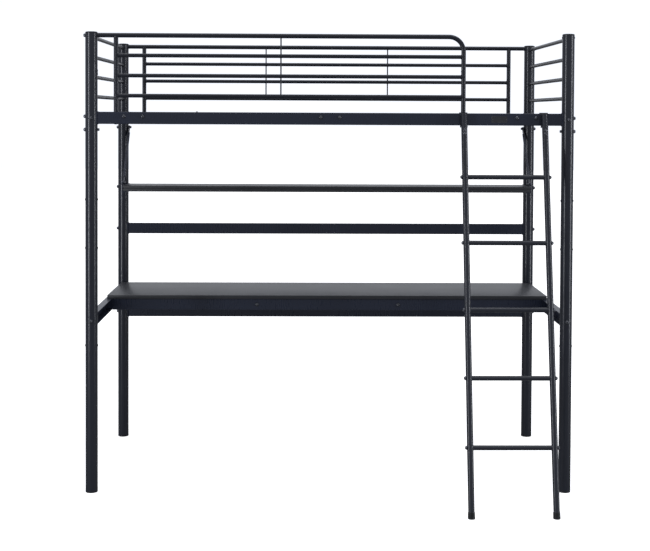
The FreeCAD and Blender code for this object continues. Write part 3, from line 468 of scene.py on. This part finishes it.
def mix_colour(t, factor, first, second):
    node = t.add("Mix", {"data_type": "RGBA"})
    t.put(node, "0", factor)
    t.put(node, "6", first)
    t.put(node, "7", second)
    return node.outputs[2]


def tinted(colour, share):
    return tuple(c * share for c in colour) + (1,)


def coated(name, colour, roughness, peel, peel_scale=PEEL_SCALE, dust=0.12, wear=0.35,
           bare=(0.32, 0.32, 0.33), specular=0.5, metallic=0.0):
    """Coated metal or moulded plastic: ripple, drifting gloss, dust on top, rubbed edges."""
    material = bpy.data.materials.new(name)
    material.use_nodes = True
    t = Tree(material.node_tree)
    shader = material.node_tree.nodes["Principled BSDF"]
    shader.inputs["Specular IOR Level"].default_value = specular
    shader.inputs["Metallic"].default_value = metallic
    spot = t.add("TexCoord").outputs["Object"]
    tint = t.add("TexNoise", Vector=spot, Scale=3.0, Detail=3.0)
    base = mix_colour(t, tint.outputs["Fac"], tinted(colour, TINT_DARK), tinted(colour, TINT_LIGHT))
    worn = use_group(t, "edge_wear", Vector=spot, Amount=wear)
    dusty = use_group(t, "dust", Vector=spot, Amount=dust)
    with_wear = mix_colour(t, worn.outputs["Mask"], base, (*bare, 1))
    t.put(shader, "Base Color", mix_colour(t, dusty.outputs["Mask"], with_wear, DUST_COLOUR))
    drift = use_group(t, "gloss_drift", Vector=spot, Base=roughness)
    dull = t.maths("MULTIPLY", dusty.outputs["Mask"], DUST_DULLS)
    t.put(shader, "Roughness", t.maths("ADD", drift.outputs["Roughness"], dull, True))
    ripple = use_group(t, "orange_peel", Vector=spot, Scale=peel_scale)
    bump = t.add("Bump", Height=ripple.outputs["Height"], Strength=peel)
    bump.inputs["Distance"].default_value = BUMP_DEPTH
    t.put(shader, "Normal", bump.outputs["Normal"])
    return material


print("a coated surface has a bump of", BUMP_DEPTH / MM, "mm")

# %% [markdown]
# ### The steel's colours
# The posts, the guards and the ladder are nearly black, and the flat rails are a deep navy. One
# material for all steel would do, but each was coated in its own batch, so each slot gets a finish
# of its own. The ripple is weak on thin tubes, where a strong one would only glitter.

# %% Powder-coated steel
BLACK = (0.0125, 0.0150, 0.0235)
GUARD_BLACK = (0.010, 0.012, 0.019)
BASE_BLACK = (0.013, 0.015, 0.021)
NAVY = (0.0150, 0.0195, 0.0355)
FINISHES = {
    "post_steel": coated("post_powder_coat", BLACK, 0.24, 0.04, wear=0.05),
    "rail_steel": coated("rail_powder_coat", NAVY, 0.28, 0.10, specular=0.42, wear=0.2),
    "guard_steel": coated("guard_powder_coat", GUARD_BLACK, 0.28, 0.03, specular=0.4, wear=0.10),
    "ladder_steel": coated("ladder_powder_coat", BLACK, 0.25, 0.04, wear=0.10),
    "base_steel": coated("base_powder_coat", BASE_BLACK, 0.34, 0.3, wear=0.2),
}
print("steel finishes", sorted(FINISHES))

# %% [markdown]
# ### Fittings
# The bolts are blackened steel, a thin dark layer on bright metal that shows where a key has
# rubbed. Caps, feet, plugs and boots are moulded plastic with a finer, spark-eroded grain. The
# little plate on the rail is enamelled. All three are still a colour, a gloss and a ripple, so the
# same recipe serves, with other values.

# %% Bolts, plastic and enamel
BOLT_STEEL = (0.11, 0.115, 0.13)
PLASTIC = (0.009, 0.010, 0.012)
ENAMEL = (0.022, 0.023, 0.028)
PLASTIC_GRAIN = 1800.0
FINISHES["blackened_bolts"] = coated("blackened_steel", BOLT_STEEL, 0.24, 0.08, wear=0.5, metallic=0.85,
                                     bare=(0.5, 0.5, 0.52))
FINISHES["black_plastic"] = coated("moulded_black_plastic", PLASTIC, 0.42, 0.3, peel_scale=PLASTIC_GRAIN,
                                   specular=0.35, wear=0.12, bare=(0.05, 0.05, 0.05))
FINISHES["plate"] = coated("plate_enamel", ENAMEL, 0.25, 0.12, wear=0.35, bare=(0.35, 0.35, 0.36))
print("finishes", sorted(FINISHES))

# %% [markdown]
# ## Laminated board
# The desk top and the shelf are chipboard with a printed charcoal foil. The print has faint streaks
# along the board, and the foil a fine emboss that follows them. A wood texture would show knots and
# rings, which this foil has none of, so both come from noises that are stretched along X. Seen at
# a low angle the foil mirrors the pale room and looks far lighter than it is.

# %% Charcoal laminate
LAMINATE = (0.034, 0.036, 0.042)
STREAK_STRETCH = (1.2, 55.0, 55.0)
FIBRE_STRETCH = (18.0, 900.0, 900.0)
PRINT_DARK, PRINT_PALE = 0.72, 1.5
FIBRE_GLOSS = 0.06
EMBOSS = 0.25


def laminate():
    material = bpy.data.materials.new("charcoal_laminate")
    material.use_nodes = True
    t = Tree(material.node_tree)
    shader = material.node_tree.nodes["Principled BSDF"]
    shader.inputs["Specular IOR Level"].default_value = 0.5
    spot = t.add("TexCoord").outputs["Object"]
    lengthwise = t.add("Mapping", Vector=spot, Scale=STREAK_STRETCH)
    streak = t.add("TexNoise", Vector=lengthwise.outputs["Vector"], Scale=2.2, Detail=6.0, Roughness=0.6)
    fibres = t.add("Mapping", Vector=spot, Scale=FIBRE_STRETCH)
    fine = t.add("TexNoise", Vector=fibres.outputs["Vector"], Scale=1.6, Detail=3.0)
    tone = t.spread(streak.outputs["Fac"], 0.3, 0.72)
    base = mix_colour(t, tone, tinted(LAMINATE, PRINT_DARK), tinted(LAMINATE, PRINT_PALE))
    dusty = use_group(t, "dust", Vector=spot, Amount=0.10)
    t.put(shader, "Base Color", mix_colour(t, dusty.outputs["Mask"], base, DUST_COLOUR))
    drift = use_group(t, "gloss_drift", Vector=spot, Base=0.34, Patches=0.08, Wipes=0.06)
    dull = t.maths("MULTIPLY", fine.outputs["Fac"], FIBRE_GLOSS)
    t.put(shader, "Roughness", t.maths("ADD", drift.outputs["Roughness"], dull, True))
    relief = t.maths("ADD", fine.outputs["Fac"], streak.outputs["Fac"])
    bump = t.add("Bump", Height=relief, Strength=EMBOSS)
    bump.inputs["Distance"].default_value = BUMP_DEPTH
    t.put(shader, "Normal", bump.outputs["Normal"])
    return material


FINISHES["laminated_board"] = laminate()
print("laminate", FINISHES["laminated_board"].name)

# %% [markdown]
# ## Finish for the frame
# The record says for every part which material it is made of. Choosing finishes by hand would miss
# a part sooner or later, so each CAD node takes the finish of its slot. Their meshes stay as they are.

# %% Give every CAD node the finish of its slot
for name, obj in frame["nodes"].items():
    obj.data.materials.clear()
    obj.data.materials.append(FINISHES[SLOT_OF[name]])
print("painted", len(frame["nodes"]), "nodes")

# %% [markdown]
# ## Hand-made small parts
# From across a room the bed is tubes and rails. From close by, it is its fittings that look real or
# don't. Most of them came off a lathe or out of a round mould, so they are **turned** here too: a
# short profile is spun about its axis. A cylinder with bevels would also be round, but a profile
# holds the whole design in a few points, and a rim or a groove costs only one more.

# %% Turning, placing and finishing a piece
SPIN_STEPS = 32
MERGE = 0.004 * MM
SHARP = math.radians(35)


def turned(profile, steps=SPIN_STEPS):
    """A part spun about Z from a profile of (radius, height) in mm."""
    part = bmesh.new()
    line = [part.verts.new((r * MM, 0, z * MM)) for r, z in profile]
    edges = [part.edges.new(pair) for pair in zip(line, line[1:])]
    bmesh.ops.spin(part, geom=line + edges, axis=(0, 0, 1), angle=math.tau, steps=steps, use_merge=True)
    bmesh.ops.remove_doubles(part, verts=part.verts, dist=MERGE)
    return part


def put_in(group, part, place):
    """Move a part, made about the origin, to its place, and add it to a group of parts."""
    bmesh.ops.transform(part, matrix=place, verts=part.verts)
    carrier = bpy.data.meshes.new("carrier")
    part.to_mesh(carrier)
    part.free()
    group.from_mesh(carrier)
    bpy.data.meshes.remove(carrier)


def finish_piece(name, bm, material_slot, body, *nodes, materials=None, sharp=SHARP):
    """A bmesh becomes a piece: merged, turned outwards, painted, and riding on its body."""
    bmesh.ops.remove_doubles(bm, verts=bm.verts, dist=MERGE)
    bmesh.ops.dissolve_degenerate(bm, edges=bm.edges, dist=MERGE / 4)
    bmesh.ops.recalc_face_normals(bm, faces=bm.faces)
    for face in bm.faces:
        face.smooth = True
    mesh = bpy.data.meshes.new(name)
    bm.to_mesh(mesh)
    bm.free()
    mesh.set_sharp_from_angle(angle=sharp)
    obj = bpy.data.objects.new(name, mesh)
    bpy.context.scene.collection.objects.link(obj)
    for material in materials or [FINISHES[material_slot]]:
        mesh.materials.append(material)
    if nodes:
        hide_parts(*nodes)
    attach(obj, body)
    print(name, len(mesh.polygons), "faces")


print("a turned part has", SPIN_STEPS, "steps")

# %% [markdown]
# ### Finding an axis
# A real bolt points along its hole, and there are dozens. Its axis could be typed for each, but it
# can also be measured: of all directions, the axis is the one in which the points of a long part
# reach furthest, and for a flat part the one in which they reach least.

# %% Measuring round parts


def mm(length):
    return length / MM


def corners_of(points):
    """Lowest and highest corner of a cloud of points."""
    return (Vector([min(p[i] for p in points) for i in range(3)]),
            Vector([max(p[i] for p in points) for i in range(3)]))


def frame_of(origin, axis, up=Vector((0, 0, 1))):
    """Matrix with its local Z along axis and its local X as near to `up` as can be."""
    z = axis.normalized()
    if abs(z.dot(up)) > 0.99:
        up = Vector((1, 0, 0))
    y = z.cross(up).normalized()
    x = y.cross(z)
    return Matrix.Translation(origin) @ Matrix((x, y, z)).transposed().to_4x4()


def long_axis(points):
    """Direction in which a cloud of points reaches furthest, and the one in which it is flattest."""
    cloud = np.array(points) - np.mean(points, axis=0)
    ways = np.linalg.eigh(cloud.T @ cloud)[1]
    return Vector(ways[:, 2]), Vector(ways[:, 0])


def along(points, axis):
    """Middle line of a round part about an axis, its lowest and highest reach, and (reach, radius) rows."""
    place = frame_of(Vector(points[0]), axis)
    local = [place.inverted() @ Vector(p) for p in points]
    low, high = corners_of(local)
    cx = (low.x + high.x) / 2
    cy = (low.y + high.y) / 2
    rows = [(p.z, math.hypot(p.x - cx, p.y - cy)) for p in local]
    return place @ Matrix.Translation((cx, cy, 0)), low.z, high.z, rows


def saddle(part, shank, hug):
    """Pull the seat of a turned head, outside its shank, down onto a round post."""
    for vert in part.verts:
        if abs(vert.co.z) < MERGE and math.hypot(vert.co.x, vert.co.y) > shank:
            vert.co.z -= hug - math.sqrt(hug ** 2 - vert.co.y ** 2)


print("a test of the axis finder:", [round(c, 2) for c in long_axis([(0, 0, 0), (0, 0, 2), (0, 1, 1)])[0]])

# %% [markdown]
# ### Post caps and feet
# Each post is closed by a moulded cap and stands on a moulded foot. A cap could be a squashed
# sphere, but a real one is a shallow dome with a rolled edge and a thin shadow line where it meets
# the tube, and a turned profile gives all three. A foot has a soft lower rim, so that it doesn't
# cut the floor, and a hollow under it, as thick plastic would sink there.

# %% Caps and feet
TUBE_BORE = mm(POST_R) - 1.8
CAP_H = 6
ROUND_STEPS = 48
CAP_PROFILE = [(0, 6), (9, 5.95), (16, 5.7), (20.5, 5.1), (23.2, 4.1), (24.5, 2.9), (25, 1.6), (25, 1.1),
               (24.5, 0.7), (24.3, 0.1), (TUBE_BORE, 0.1), (TUBE_BORE, -3.5), (0, -3.5)]
FOOT_PROFILE = [(0, 1.2), (15, 1.2), (17, 0), (22.2, 0), (23.6, 0.4), (24.6, 1.3), (25, 2.6), (25, 4.6),
                (24.7, 5.2), (24.2, 5.4), (24.2, 6), (TUBE_BORE, 6), (TUBE_BORE, 20), (0, 20)]
caps = bmesh.new()
feet = bmesh.new()
for spot in POSTS.values():
    put_in(caps, turned(CAP_PROFILE, ROUND_STEPS), Matrix.Translation((spot.x, spot.y, CAP_TOP - CAP_H * MM)))
    put_in(feet, turned(FOOT_PROFILE, ROUND_STEPS), Matrix.Translation((spot.x, spot.y, 0)))
finish_piece("post_caps_moulded", caps, "black_plastic", "bed_frame", "post_top_caps")
finish_piece("post_feet_moulded", feet, "black_plastic", "bed_frame", "post_feet")

# %% [markdown]
# ### Bolts
# Flat-pack steel furniture is held by button-head bolts with a hexagon socket. The socket could be
# cut with a boolean, which leaves long thin faces. Here the head is spun with twenty-four steps,
# four to each side of the hexagon, so the inner ring can be pulled out onto a hexagon and then
# extruded down. On a round post the skirt of the head follows the tube, as a saddle washer does.
# The threads are plain rings: at this size a true helix would look just the same.

# %% Socket bolt
HEX_STEPS = 24
SOCKET_SHARE = 0.29         # middle to flat of the socket, as a share of the head's radius
SOCKET_MOUTH = 1.35
SOCKET_DEPTH = 0.6
THREAD_PITCH = 1.0
THREAD_RINGS = 9
THREAD_ROOT = 0.86
TIP = 0.6                   # eased end of the shank
RIM_NEAR = 0.1
CROWN = [(0.96, 0), (1, 0.06), (1, 0.16), (0.93, 0.24), (0.9, 0.42), (0.8, 0.66), (0.66, 0.86), (0.54, 0.96)]


def on_hexagon(vert, flat):
    """Pull a vertex of a round ring out to a hexagon with this distance from middle to flat."""
    turn = math.atan2(vert.co.y, vert.co.x)
    off = (turn + math.pi / 6) % (math.pi / 3) - math.pi / 6
    size = flat / math.cos(off)
    vert.co.x = size * math.cos(turn)
    vert.co.y = size * math.sin(turn)


def socket_bolt(radius, height, shank, length, hug=0.0):
    """Button head with a hexagon socket on Z, its threaded shank running back from it."""
    flat = radius * SOCKET_SHARE
    profile = [(shank * 0.8, -length), (shank, -length + TIP)]
    for ring in range(THREAD_RINGS):
        step = -length + TIP + THREAD_PITCH * ring
        profile += [(shank * THREAD_ROOT, step + THREAD_PITCH / 2), (shank, step + THREAD_PITCH)]
    profile += [(shank, 0)] + [(radius * wide, height * rise) for wide, rise in CROWN]
    profile += [(flat * SOCKET_MOUTH, height)]
    part = turned(profile, HEX_STEPS)
    if hug:
        saddle(part, shank * 1.05 * MM, hug)
    mouth = [e for e in part.edges if e.is_boundary and e.verts[0].co.z > (height - RIM_NEAR) * MM]
    tail = [e for e in part.edges if e.is_boundary and e.verts[0].co.z < (RIM_NEAR - length) * MM]
    bmesh.ops.edgeloop_fill(part, edges=tail)
    for drop in (0.0, height * SOCKET_DEPTH):
        rows = bmesh.ops.extrude_edge_only(part, edges=mouth)["geom"]
        ring = [v for v in rows if isinstance(v, bmesh.types.BMVert)]
        mouth = [e for e in rows if isinstance(e, bmesh.types.BMEdge) and e.is_boundary]
        for vert in ring:
            on_hexagon(vert, flat * MM)
            vert.co.z -= drop * MM
    bmesh.ops.edgeloop_fill(part, edges=mouth)
    return part


print("a socket has", HEX_STEPS // 6, "steps to a side")

# %% [markdown]
# ### Nuts and spacers
# A nut is pressed from hexagon bar, and its corners are eased so that it doesn't cut the fingers. A
# six-sided cone with two equal ends is just such a bar, and one bevel on its rims eases it. A
# spacer is a flat ring, turned like the rest.

# %% Nut and spacer
NUT_EASE = 0.5
SPACER_BORE = 3.2
SPACER_RIM = 0.97


def hex_nut(radius, height):
    """Hexagon nut with eased corners, from Z 0 up."""
    part = bmesh.new()
    lift = Matrix.Translation((0, 0, height / 2 * MM))
    bmesh.ops.create_cone(part, cap_ends=True, segments=6, radius1=radius * MM, radius2=radius * MM,
                          depth=height * MM, matrix=lift)
    rims = [e for e in part.edges if abs(e.verts[0].co.z - e.verts[1].co.z) < MERGE]
    bmesh.ops.bevel(part, geom=rims, offset=NUT_EASE * MM, offset_type="OFFSET", segments=2, profile=0.5,
                    affect="EDGES", material=-1)
    return part


def spacer(radius, height):
    return turned([(SPACER_BORE, 0), (radius * SPACER_RIM, 0), (radius, height * 0.2), (radius, height * 0.8),
                   (radius * SPACER_RIM, height), (SPACER_BORE, height), (SPACER_BORE, 0)])


print("nuts are eased by", NUT_EASE, "mm")

# %% [markdown]
# ### One real part for each plain one
# The CAD model holds every bolt as a plain shape of the right size in the right place. Copies of one
# bolt could be scattered over them, but the sizes differ. So each island is measured: one with a
# point on its axis is a bolt, whose crown closes there, and of the rest, the flat ones are spacers
# and the others nuts. Each is then made again at its own size.

# %% Rebuild a node's hardware
ON_AXIS = 0.3 * MM
FLAT_SHARE = 0.6
CROWN_EASE = 0.03           # heads stay this much inside the height of the frame's own
HARDWARE_SHARP = math.radians(28)


def rebuild_hardware(node, body, hug=0.0):
    """Every bolt, nut and spacer of a CAD node, made again with its real shape."""
    bm = bmesh.new()
    kinds = {"bolts": 0, "nuts": 0, "spacers": 0}
    for points in islands(node):
        far, flat = long_axis(points)
        place, low, high, rows = along(points, far)
        if min(r for z, r in rows) < ON_AXIS:
            seat = max(rows, key=lambda row: row[1])[0]
            if high - seat > seat - low:
                place, low, high, rows = along(points, -far)
                seat = max(rows, key=lambda row: row[1])[0]
            radius = max(r for z, r in rows)
            shank = max(r for z, r in rows if z < low + RIM_NEAR * MM)
            head = socket_bolt(mm(radius), mm(high - seat) - CROWN_EASE, mm(shank), mm(seat - low), hug)
            put_in(bm, head, place @ Matrix.Translation((0, 0, seat)))
            kinds["bolts"] += 1
            continue
        place, low, high, rows = along(points, flat)
        radius = max(r for z, r in rows)
        is_flat = (high - low) < FLAT_SHARE * radius
        make = spacer if is_flat else hex_nut
        put_in(bm, make(mm(radius), mm(high - low)), place @ Matrix.Translation((0, 0, low)))
        kinds["spacers" if is_flat else "nuts"] += 1
    print(node, kinds)
    finish_piece(node + "_turned", bm, SLOT_OF[node], body, node, sharp=HARDWARE_SHARP)


rebuild_hardware("post_bolts", "bed_frame", hug=POST_R)
for node in ("post_nuts", "cross_tie_bolts", "guard_foot_bolts", "desk_bolts", "shelf_bolts"):
    rebuild_hardware(node, "bed_frame")
rebuild_hardware("ladder_bolts", "ladder")

# %% [markdown]
# ### Hole plugs
# The posts are drilled for more than one kind of bed, and holes that stay unused are closed by
# little plastic plugs: a low mushroom head with a dimple where the moulding was filled. A disc
# would close the hole too, but it would stand off the round tube, so the head is bent to the post.

# %% Hole plugs
PLUG_STEPS = 24
PLUG_PROUD = 2
PLUG_STEM = 3
PLUG_FACE = [(0, 1.45), (1.0, 1.5), (1.5, 1.95), (2.6, 1.9), (3.6, 1.5), (4.25, 0.85), (4.5, 0.2), (4.5, 0),
             (2.8, 0), (2.8, -2.5), (0, -2.5)]
plugs = bmesh.new()
for points in islands("hole_plugs"):
    low, high = corners_of(points)
    mid = (low + high) / 2
    post = min(POSTS.values(), key=lambda spot: (spot.xy - mid.xy).length)
    plug = turned(PLUG_FACE, PLUG_STEPS)
    if (post.xy - mid.xy).length > 2 * POST_R:
        put_in(plugs, plug, Matrix.Translation((mid.x, mid.y, high.z - PLUG_PROUD * MM)))
        continue
    out = Vector((round((mid.x - post.x) / POST_R), round((mid.y - post.y) / POST_R), 0))
    saddle(plug, PLUG_STEM * MM, POST_R)
    put_in(plugs, plug, frame_of(Vector((post.x, post.y, mid.z)) + out * POST_R, out))
finish_piece("hole_plugs_moulded", plugs, "black_plastic", "bed_frame", "hole_plugs")

# %% [markdown]
# ### Ladder boots
# The ladder leans, so its rubber boots have to stand level on the floor. They could be sheared into
# that shape, but a real boot is a straight sleeve with a slanting sole: it is turned along the
# stile, and then cut level with the floor, which is just what `bisect_plane` does. Grooves round
# the boot give a grip and catch light.

# %% Boots of the ladder
BOOT_TOP = 25.4
BOOT_R, GROOVE_R = 14.05, 13.3
GROOVES = 4
GROOVE_FROM, GROOVE_STEP = 20.5, 3.6
stile_axis = long_axis([v.co for v in frame["nodes"]["ladder_stile_left"].data.vertices])[0]
if stile_axis.z < 0:
    stile_axis = -stile_axis
BOOT = [(12.6, BOOT_TOP), (13.4, BOOT_TOP), (13.95, 24.8), (BOOT_R, 23.6)]
for groove in range(GROOVES):
    rise = GROOVE_FROM - groove * GROOVE_STEP
    BOOT += [(BOOT_R, rise + 1.1), (GROOVE_R, rise + 0.7), (GROOVE_R, rise - 0.1), (BOOT_R, rise - 0.5)]
BOOT += [(BOOT_R, 4), (BOOT_R, -20), (0, -20)]
boots = bmesh.new()
for points in islands("ladder_boots"):
    place, low, high, rows = along(points, stile_axis)
    put_in(boots, turned(BOOT, ROUND_STEPS), place @ Matrix.Translation((0, 0, high - BOOT_TOP * MM)))
fresh = boots.verts[:] + boots.edges[:] + boots.faces[:]
cut = bmesh.ops.bisect_plane(boots, geom=fresh, plane_co=(0, 0, 0), plane_no=(0, 0, 1), clear_inner=True)
bmesh.ops.holes_fill(boots, edges=[e for e in cut["geom_cut"] if isinstance(e, bmesh.types.BMEdge)], sides=0)
print("ladder leans by", round(math.degrees(math.acos(stile_axis.z)), 1), "degrees")
finish_piece("ladder_boots_moulded", boots, "black_plastic", "ladder", "ladder_boots")

# %% [markdown]
# ### Plugs in the ladder's tops
# The stiles' tops are closed by a small domed plug with a stem that grips inside the tube. It is
# the post's cap over again, smaller, so it is turned in the same way, on the leaning axis.

# %% Top plugs of the ladder
TOP_PLUG_PROUD = 3
TOP_PLUG = [(0, 2.95), (5, 2.8), (9, 2.2), (11.4, 1.3), (12.3, 0.5), (12.45, 0.15), (10.7, 0), (10.7, -8),
            (0, -8)]
top_plugs = bmesh.new()
for points in islands("ladder_top_plugs"):
    place, low, high, rows = along(points, stile_axis)
    lift = Matrix.Translation((0, 0, high - TOP_PLUG_PROUD * MM))
    put_in(top_plugs, turned(TOP_PLUG, ROUND_STEPS), place @ lift)
finish_piece("ladder_top_plugs_moulded", top_plugs, "black_plastic", "ladder", "ladder_top_plugs")

# %% [markdown]
# ### Boards
# The desk top and the shelf are flat boards with a thin band glued round the edge. One bevelled
# block could stand for all, but a real band shows as a fine line. So the core and the bands are
# separate blocks, each with its own tiny bevel: where two bevels meet, they leave that line. The
# shelf's front is thicker and has a groove along it, which comes from two rounded strips, one above
# the other.

# %% Boards with edge bands
BAND = 1.0 * MM
CORE_EASE, BAND_EASE, NOSE_EASE = 0.25, 0.45, 1.4
NOSE_BANDS = 3              # how many bands deep a grooved front is
SHELF_GROOVE = 14.0
EDGE_COLOUR = (0.016, 0.017, 0.021)
EDGE_BAND = coated("charcoal_edge_band", EDGE_COLOUR, 0.38, 0.25, peel_scale=1500.0, wear=0.15,
                   bare=(0.10, 0.10, 0.10))


def block(low, high, bevel, material):
    """Block with eased edges between two corners."""
    part = bmesh.new()
    grow = Matrix.Diagonal((*(high - low), 1))
    bmesh.ops.create_cube(part, size=1, matrix=Matrix.Translation((low + high) / 2) @ grow)
    for face in part.faces:
        face.material_index = material
    bmesh.ops.bevel(part, geom=part.edges[:], offset=bevel * MM, offset_type="OFFSET", segments=3,
                    profile=0.5, affect="EDGES", material=-1)
    return part


def banded_board(node, groove=0.0):
    """Board with a band on every edge; a groove may run along its front, this far below the top."""
    low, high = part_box(node)
    nose = low.y + NOSE_BANDS * BAND
    level = high.z - groove * MM
    inset = Vector((BAND, BAND * (NOSE_BANDS if groove else 1), 0))
    parts = [block(low + inset, high - inset, CORE_EASE, 0)]
    if groove:
        parts += [block(Vector((low.x, low.y, level)), Vector((high.x, nose, high.z)), NOSE_EASE, 1),
                  block(low, Vector((high.x, nose, level)), NOSE_EASE, 1)]
    else:
        parts += [block(low, Vector((high.x, low.y + BAND, high.z)), BAND_EASE, 1)]
    parts += [block(Vector((low.x, high.y - BAND, low.z)), high, BAND_EASE, 1)]
    for x in (low.x, high.x - BAND):
        end_low = Vector((x, low.y + BAND, low.z))
        end_high = Vector((x + BAND, high.y - BAND, high.z))
        parts += [block(end_low, end_high, BAND_EASE, 1)]
    bm = bmesh.new()
    for part in parts:
        put_in(bm, part, Matrix.Identity(4))
    finish_piece(node + "_banded", bm, "laminated_board", "bed_frame", node,
                 materials=[FINISHES["laminated_board"], EDGE_BAND])


banded_board("desk_top")
banded_board("shelf_board", groove=SHELF_GROOVE)

# %% [markdown]
# ### The blank plate
# The front rail carries a small pressed plate with a raised border, held by two rivets. The border
# could be four thin strips, but a press makes it from one sheet, and so do the operators: a cube
# gets round corners and a soft rim, and then its face is inset and pushed in.

# %% Plate
PLATE_CORNER, PLATE_RIM = 3 * MM, 0.25 * MM
BORDER, STEP_IN = 1.4 * MM, 0.3 * MM
RIVET_INSET, RIVET_SEAT = 6 * MM, 0.35 * MM
RIVET_STEPS = 16
RIVET = [(0, 0.45), (1.0, 0.4), (1.7, 0.15), (1.9, -0.1)]
low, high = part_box("blank_plate")
mid = (low + high) / 2
plate = bmesh.new()
bmesh.ops.create_cube(plate, size=1, matrix=Matrix.Translation(mid) @ Matrix.Diagonal((*(high - low), 1)))
corners = [e for e in plate.edges if abs(e.verts[0].co.y - e.verts[1].co.y) > 0.5 * (high.y - low.y)]
bmesh.ops.bevel(plate, geom=corners, offset=PLATE_CORNER, offset_type="OFFSET", segments=5, profile=0.5,
                affect="EDGES", material=-1)
face = min(plate.faces, key=lambda f: f.calc_center_median().y)
bmesh.ops.bevel(plate, geom=list(face.edges), offset=PLATE_RIM, offset_type="OFFSET", segments=2,
                profile=0.5, affect="EDGES", material=-1)
face = min(plate.faces, key=lambda f: (round(f.calc_center_median().y, 6), -f.calc_area()))
bmesh.ops.inset_region(plate, faces=[face], thickness=BORDER, use_even_offset=True)
bmesh.ops.inset_region(plate, faces=[face], thickness=STEP_IN, depth=-STEP_IN, use_even_offset=True)
for side in (-1, 1):
    spot = Vector((mid.x + side * ((high.x - low.x) / 2 - RIVET_INSET), low.y + RIVET_SEAT, mid.z))
    put_in(plate, turned(RIVET, RIVET_STEPS), frame_of(spot, Vector((0, -1, 0))))
finish_piece("blank_plate_pressed", plate, "plate", "bed_frame", "blank_plate")

# %% [markdown]
# ### Weld beads
# The guard tubes are coped and welded: each tube's end is cut to hug the round bar it meets, and a
# rippled bead runs round the joint. A plain torus would sink into the bar at the sides. A bead
# starts as a ring instead (a small circle, spun), then every ring of vertices is slid along the
# tube's axis to where the bar's surface is, and swells and shrinks to give the stacked-coin ripple
# of a hand-held torch.

# %% One bead
BEAD_R = 1.5
BEAD_SIDES = 8
BEAD_STEPS = 72
RIPPLES, RIPPLE_SWELL = 17, 0.16
DRIFTS, DRIFT_SWELL = 5, 0.08
HUG_LIMIT = 0.98            # a tube as wide as its bar still finds the bar's surface


def weld_bead(radius, hug):
    """Bead round a tube of this radius, on Z, that leaves a bar of radius hug on X."""
    part = bmesh.new()
    upright = Matrix.Translation((radius, 0, 0)) @ Matrix.Rotation(math.pi / 2, 4, "X")
    bmesh.ops.create_circle(part, segments=BEAD_SIDES, radius=BEAD_R * MM, matrix=upright)
    geom = part.verts[:] + part.edges[:]
    bmesh.ops.spin(part, geom=geom, axis=(0, 0, 1), angle=math.tau, steps=BEAD_STEPS, use_merge=True)
    for vert in part.verts:
        turn = math.atan2(vert.co.y, vert.co.x)
        core = Vector((radius * math.cos(turn), radius * math.sin(turn), 0))
        swell = 1 + RIPPLE_SWELL * math.sin(turn * RIPPLES)
        swell += DRIFT_SWELL * math.sin(turn * DRIFTS + mm(radius))
        vert.co = core + (vert.co - core) * swell
        across = min(abs(core.y), hug * HUG_LIMIT)
        vert.co.z += math.sqrt(hug ** 2 - across ** 2)
    return part


print("a bead has", RIPPLES, "ripples")

# %% [markdown]
# ### Where the welds are
# A welder beads every end that touches a post or an upright, and no other. The ends could be listed
# one by one, but each tube's box gives its two ends, and an end whose middle lies on a bar's axis,
# within the bar's reach, is a joint.

# %% Beads at the joints
TOUCH = 2 * MM
GUARD_Z = 1.7               # any height will do, because these bars stand upright
UP = Vector((0, 0, 1))


def bead_ends(bm, node, axis, bars):
    """Beads at those ends of a node's tubes that touch one of the bars [(centre, radius, way)]."""
    count = 0
    for points in islands(node):
        low, high = corners_of(points)
        mid = (low + high) / 2
        radius = min((high[i] - low[i]) / 2 for i in range(3) if i != axis)
        for end, sign in ((low[axis], 1), (high[axis], -1)):
            for centre, hug, way in bars:
                tip = mid.copy()
                tip[axis] = centre[axis]
                off = tip - centre
                off -= way * off.dot(way)
                if off.length < TOUCH and abs(end - centre[axis]) < hug + TOUCH:
                    out = Vector((0, 0, 0))
                    out[axis] = sign
                    put_in(bm, weld_bead(radius, hug), frame_of(tip, out, way))
                    count += 1
                    break
    return count


post_bars = [(spot, POST_R, UP) for spot in POSTS.values()]
uprights = []
for points in islands("guard_uprights"):
    low, high = corners_of(points)
    mid = (low + high) / 2
    uprights.append((Vector((mid.x, mid.y, GUARD_Z)), (high.x - low.x) / 2, UP))
leg_low, leg_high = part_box("front_guard_hoop")
tube_r = (leg_high.y - leg_low.y) / 2
uprights.append((Vector((leg_high.x - tube_r, (leg_low.y + leg_high.y) / 2, GUARD_Z)), tube_r, UP))
beads = bmesh.new()
total = 0
for side in ("left", "right"):
    total += bead_ends(beads, "end_guard_rails_" + side, 1, post_bars)
for node in ("front_guard_rails", "rear_guard_rails", "rear_guard_top_rail", "front_guard_hoop"):
    total += bead_ends(beads, node, 0, post_bars + uprights)
print(total, "beads")
finish_piece("weld_beads", beads, "guard_steel", "bed_frame", sharp=math.pi)
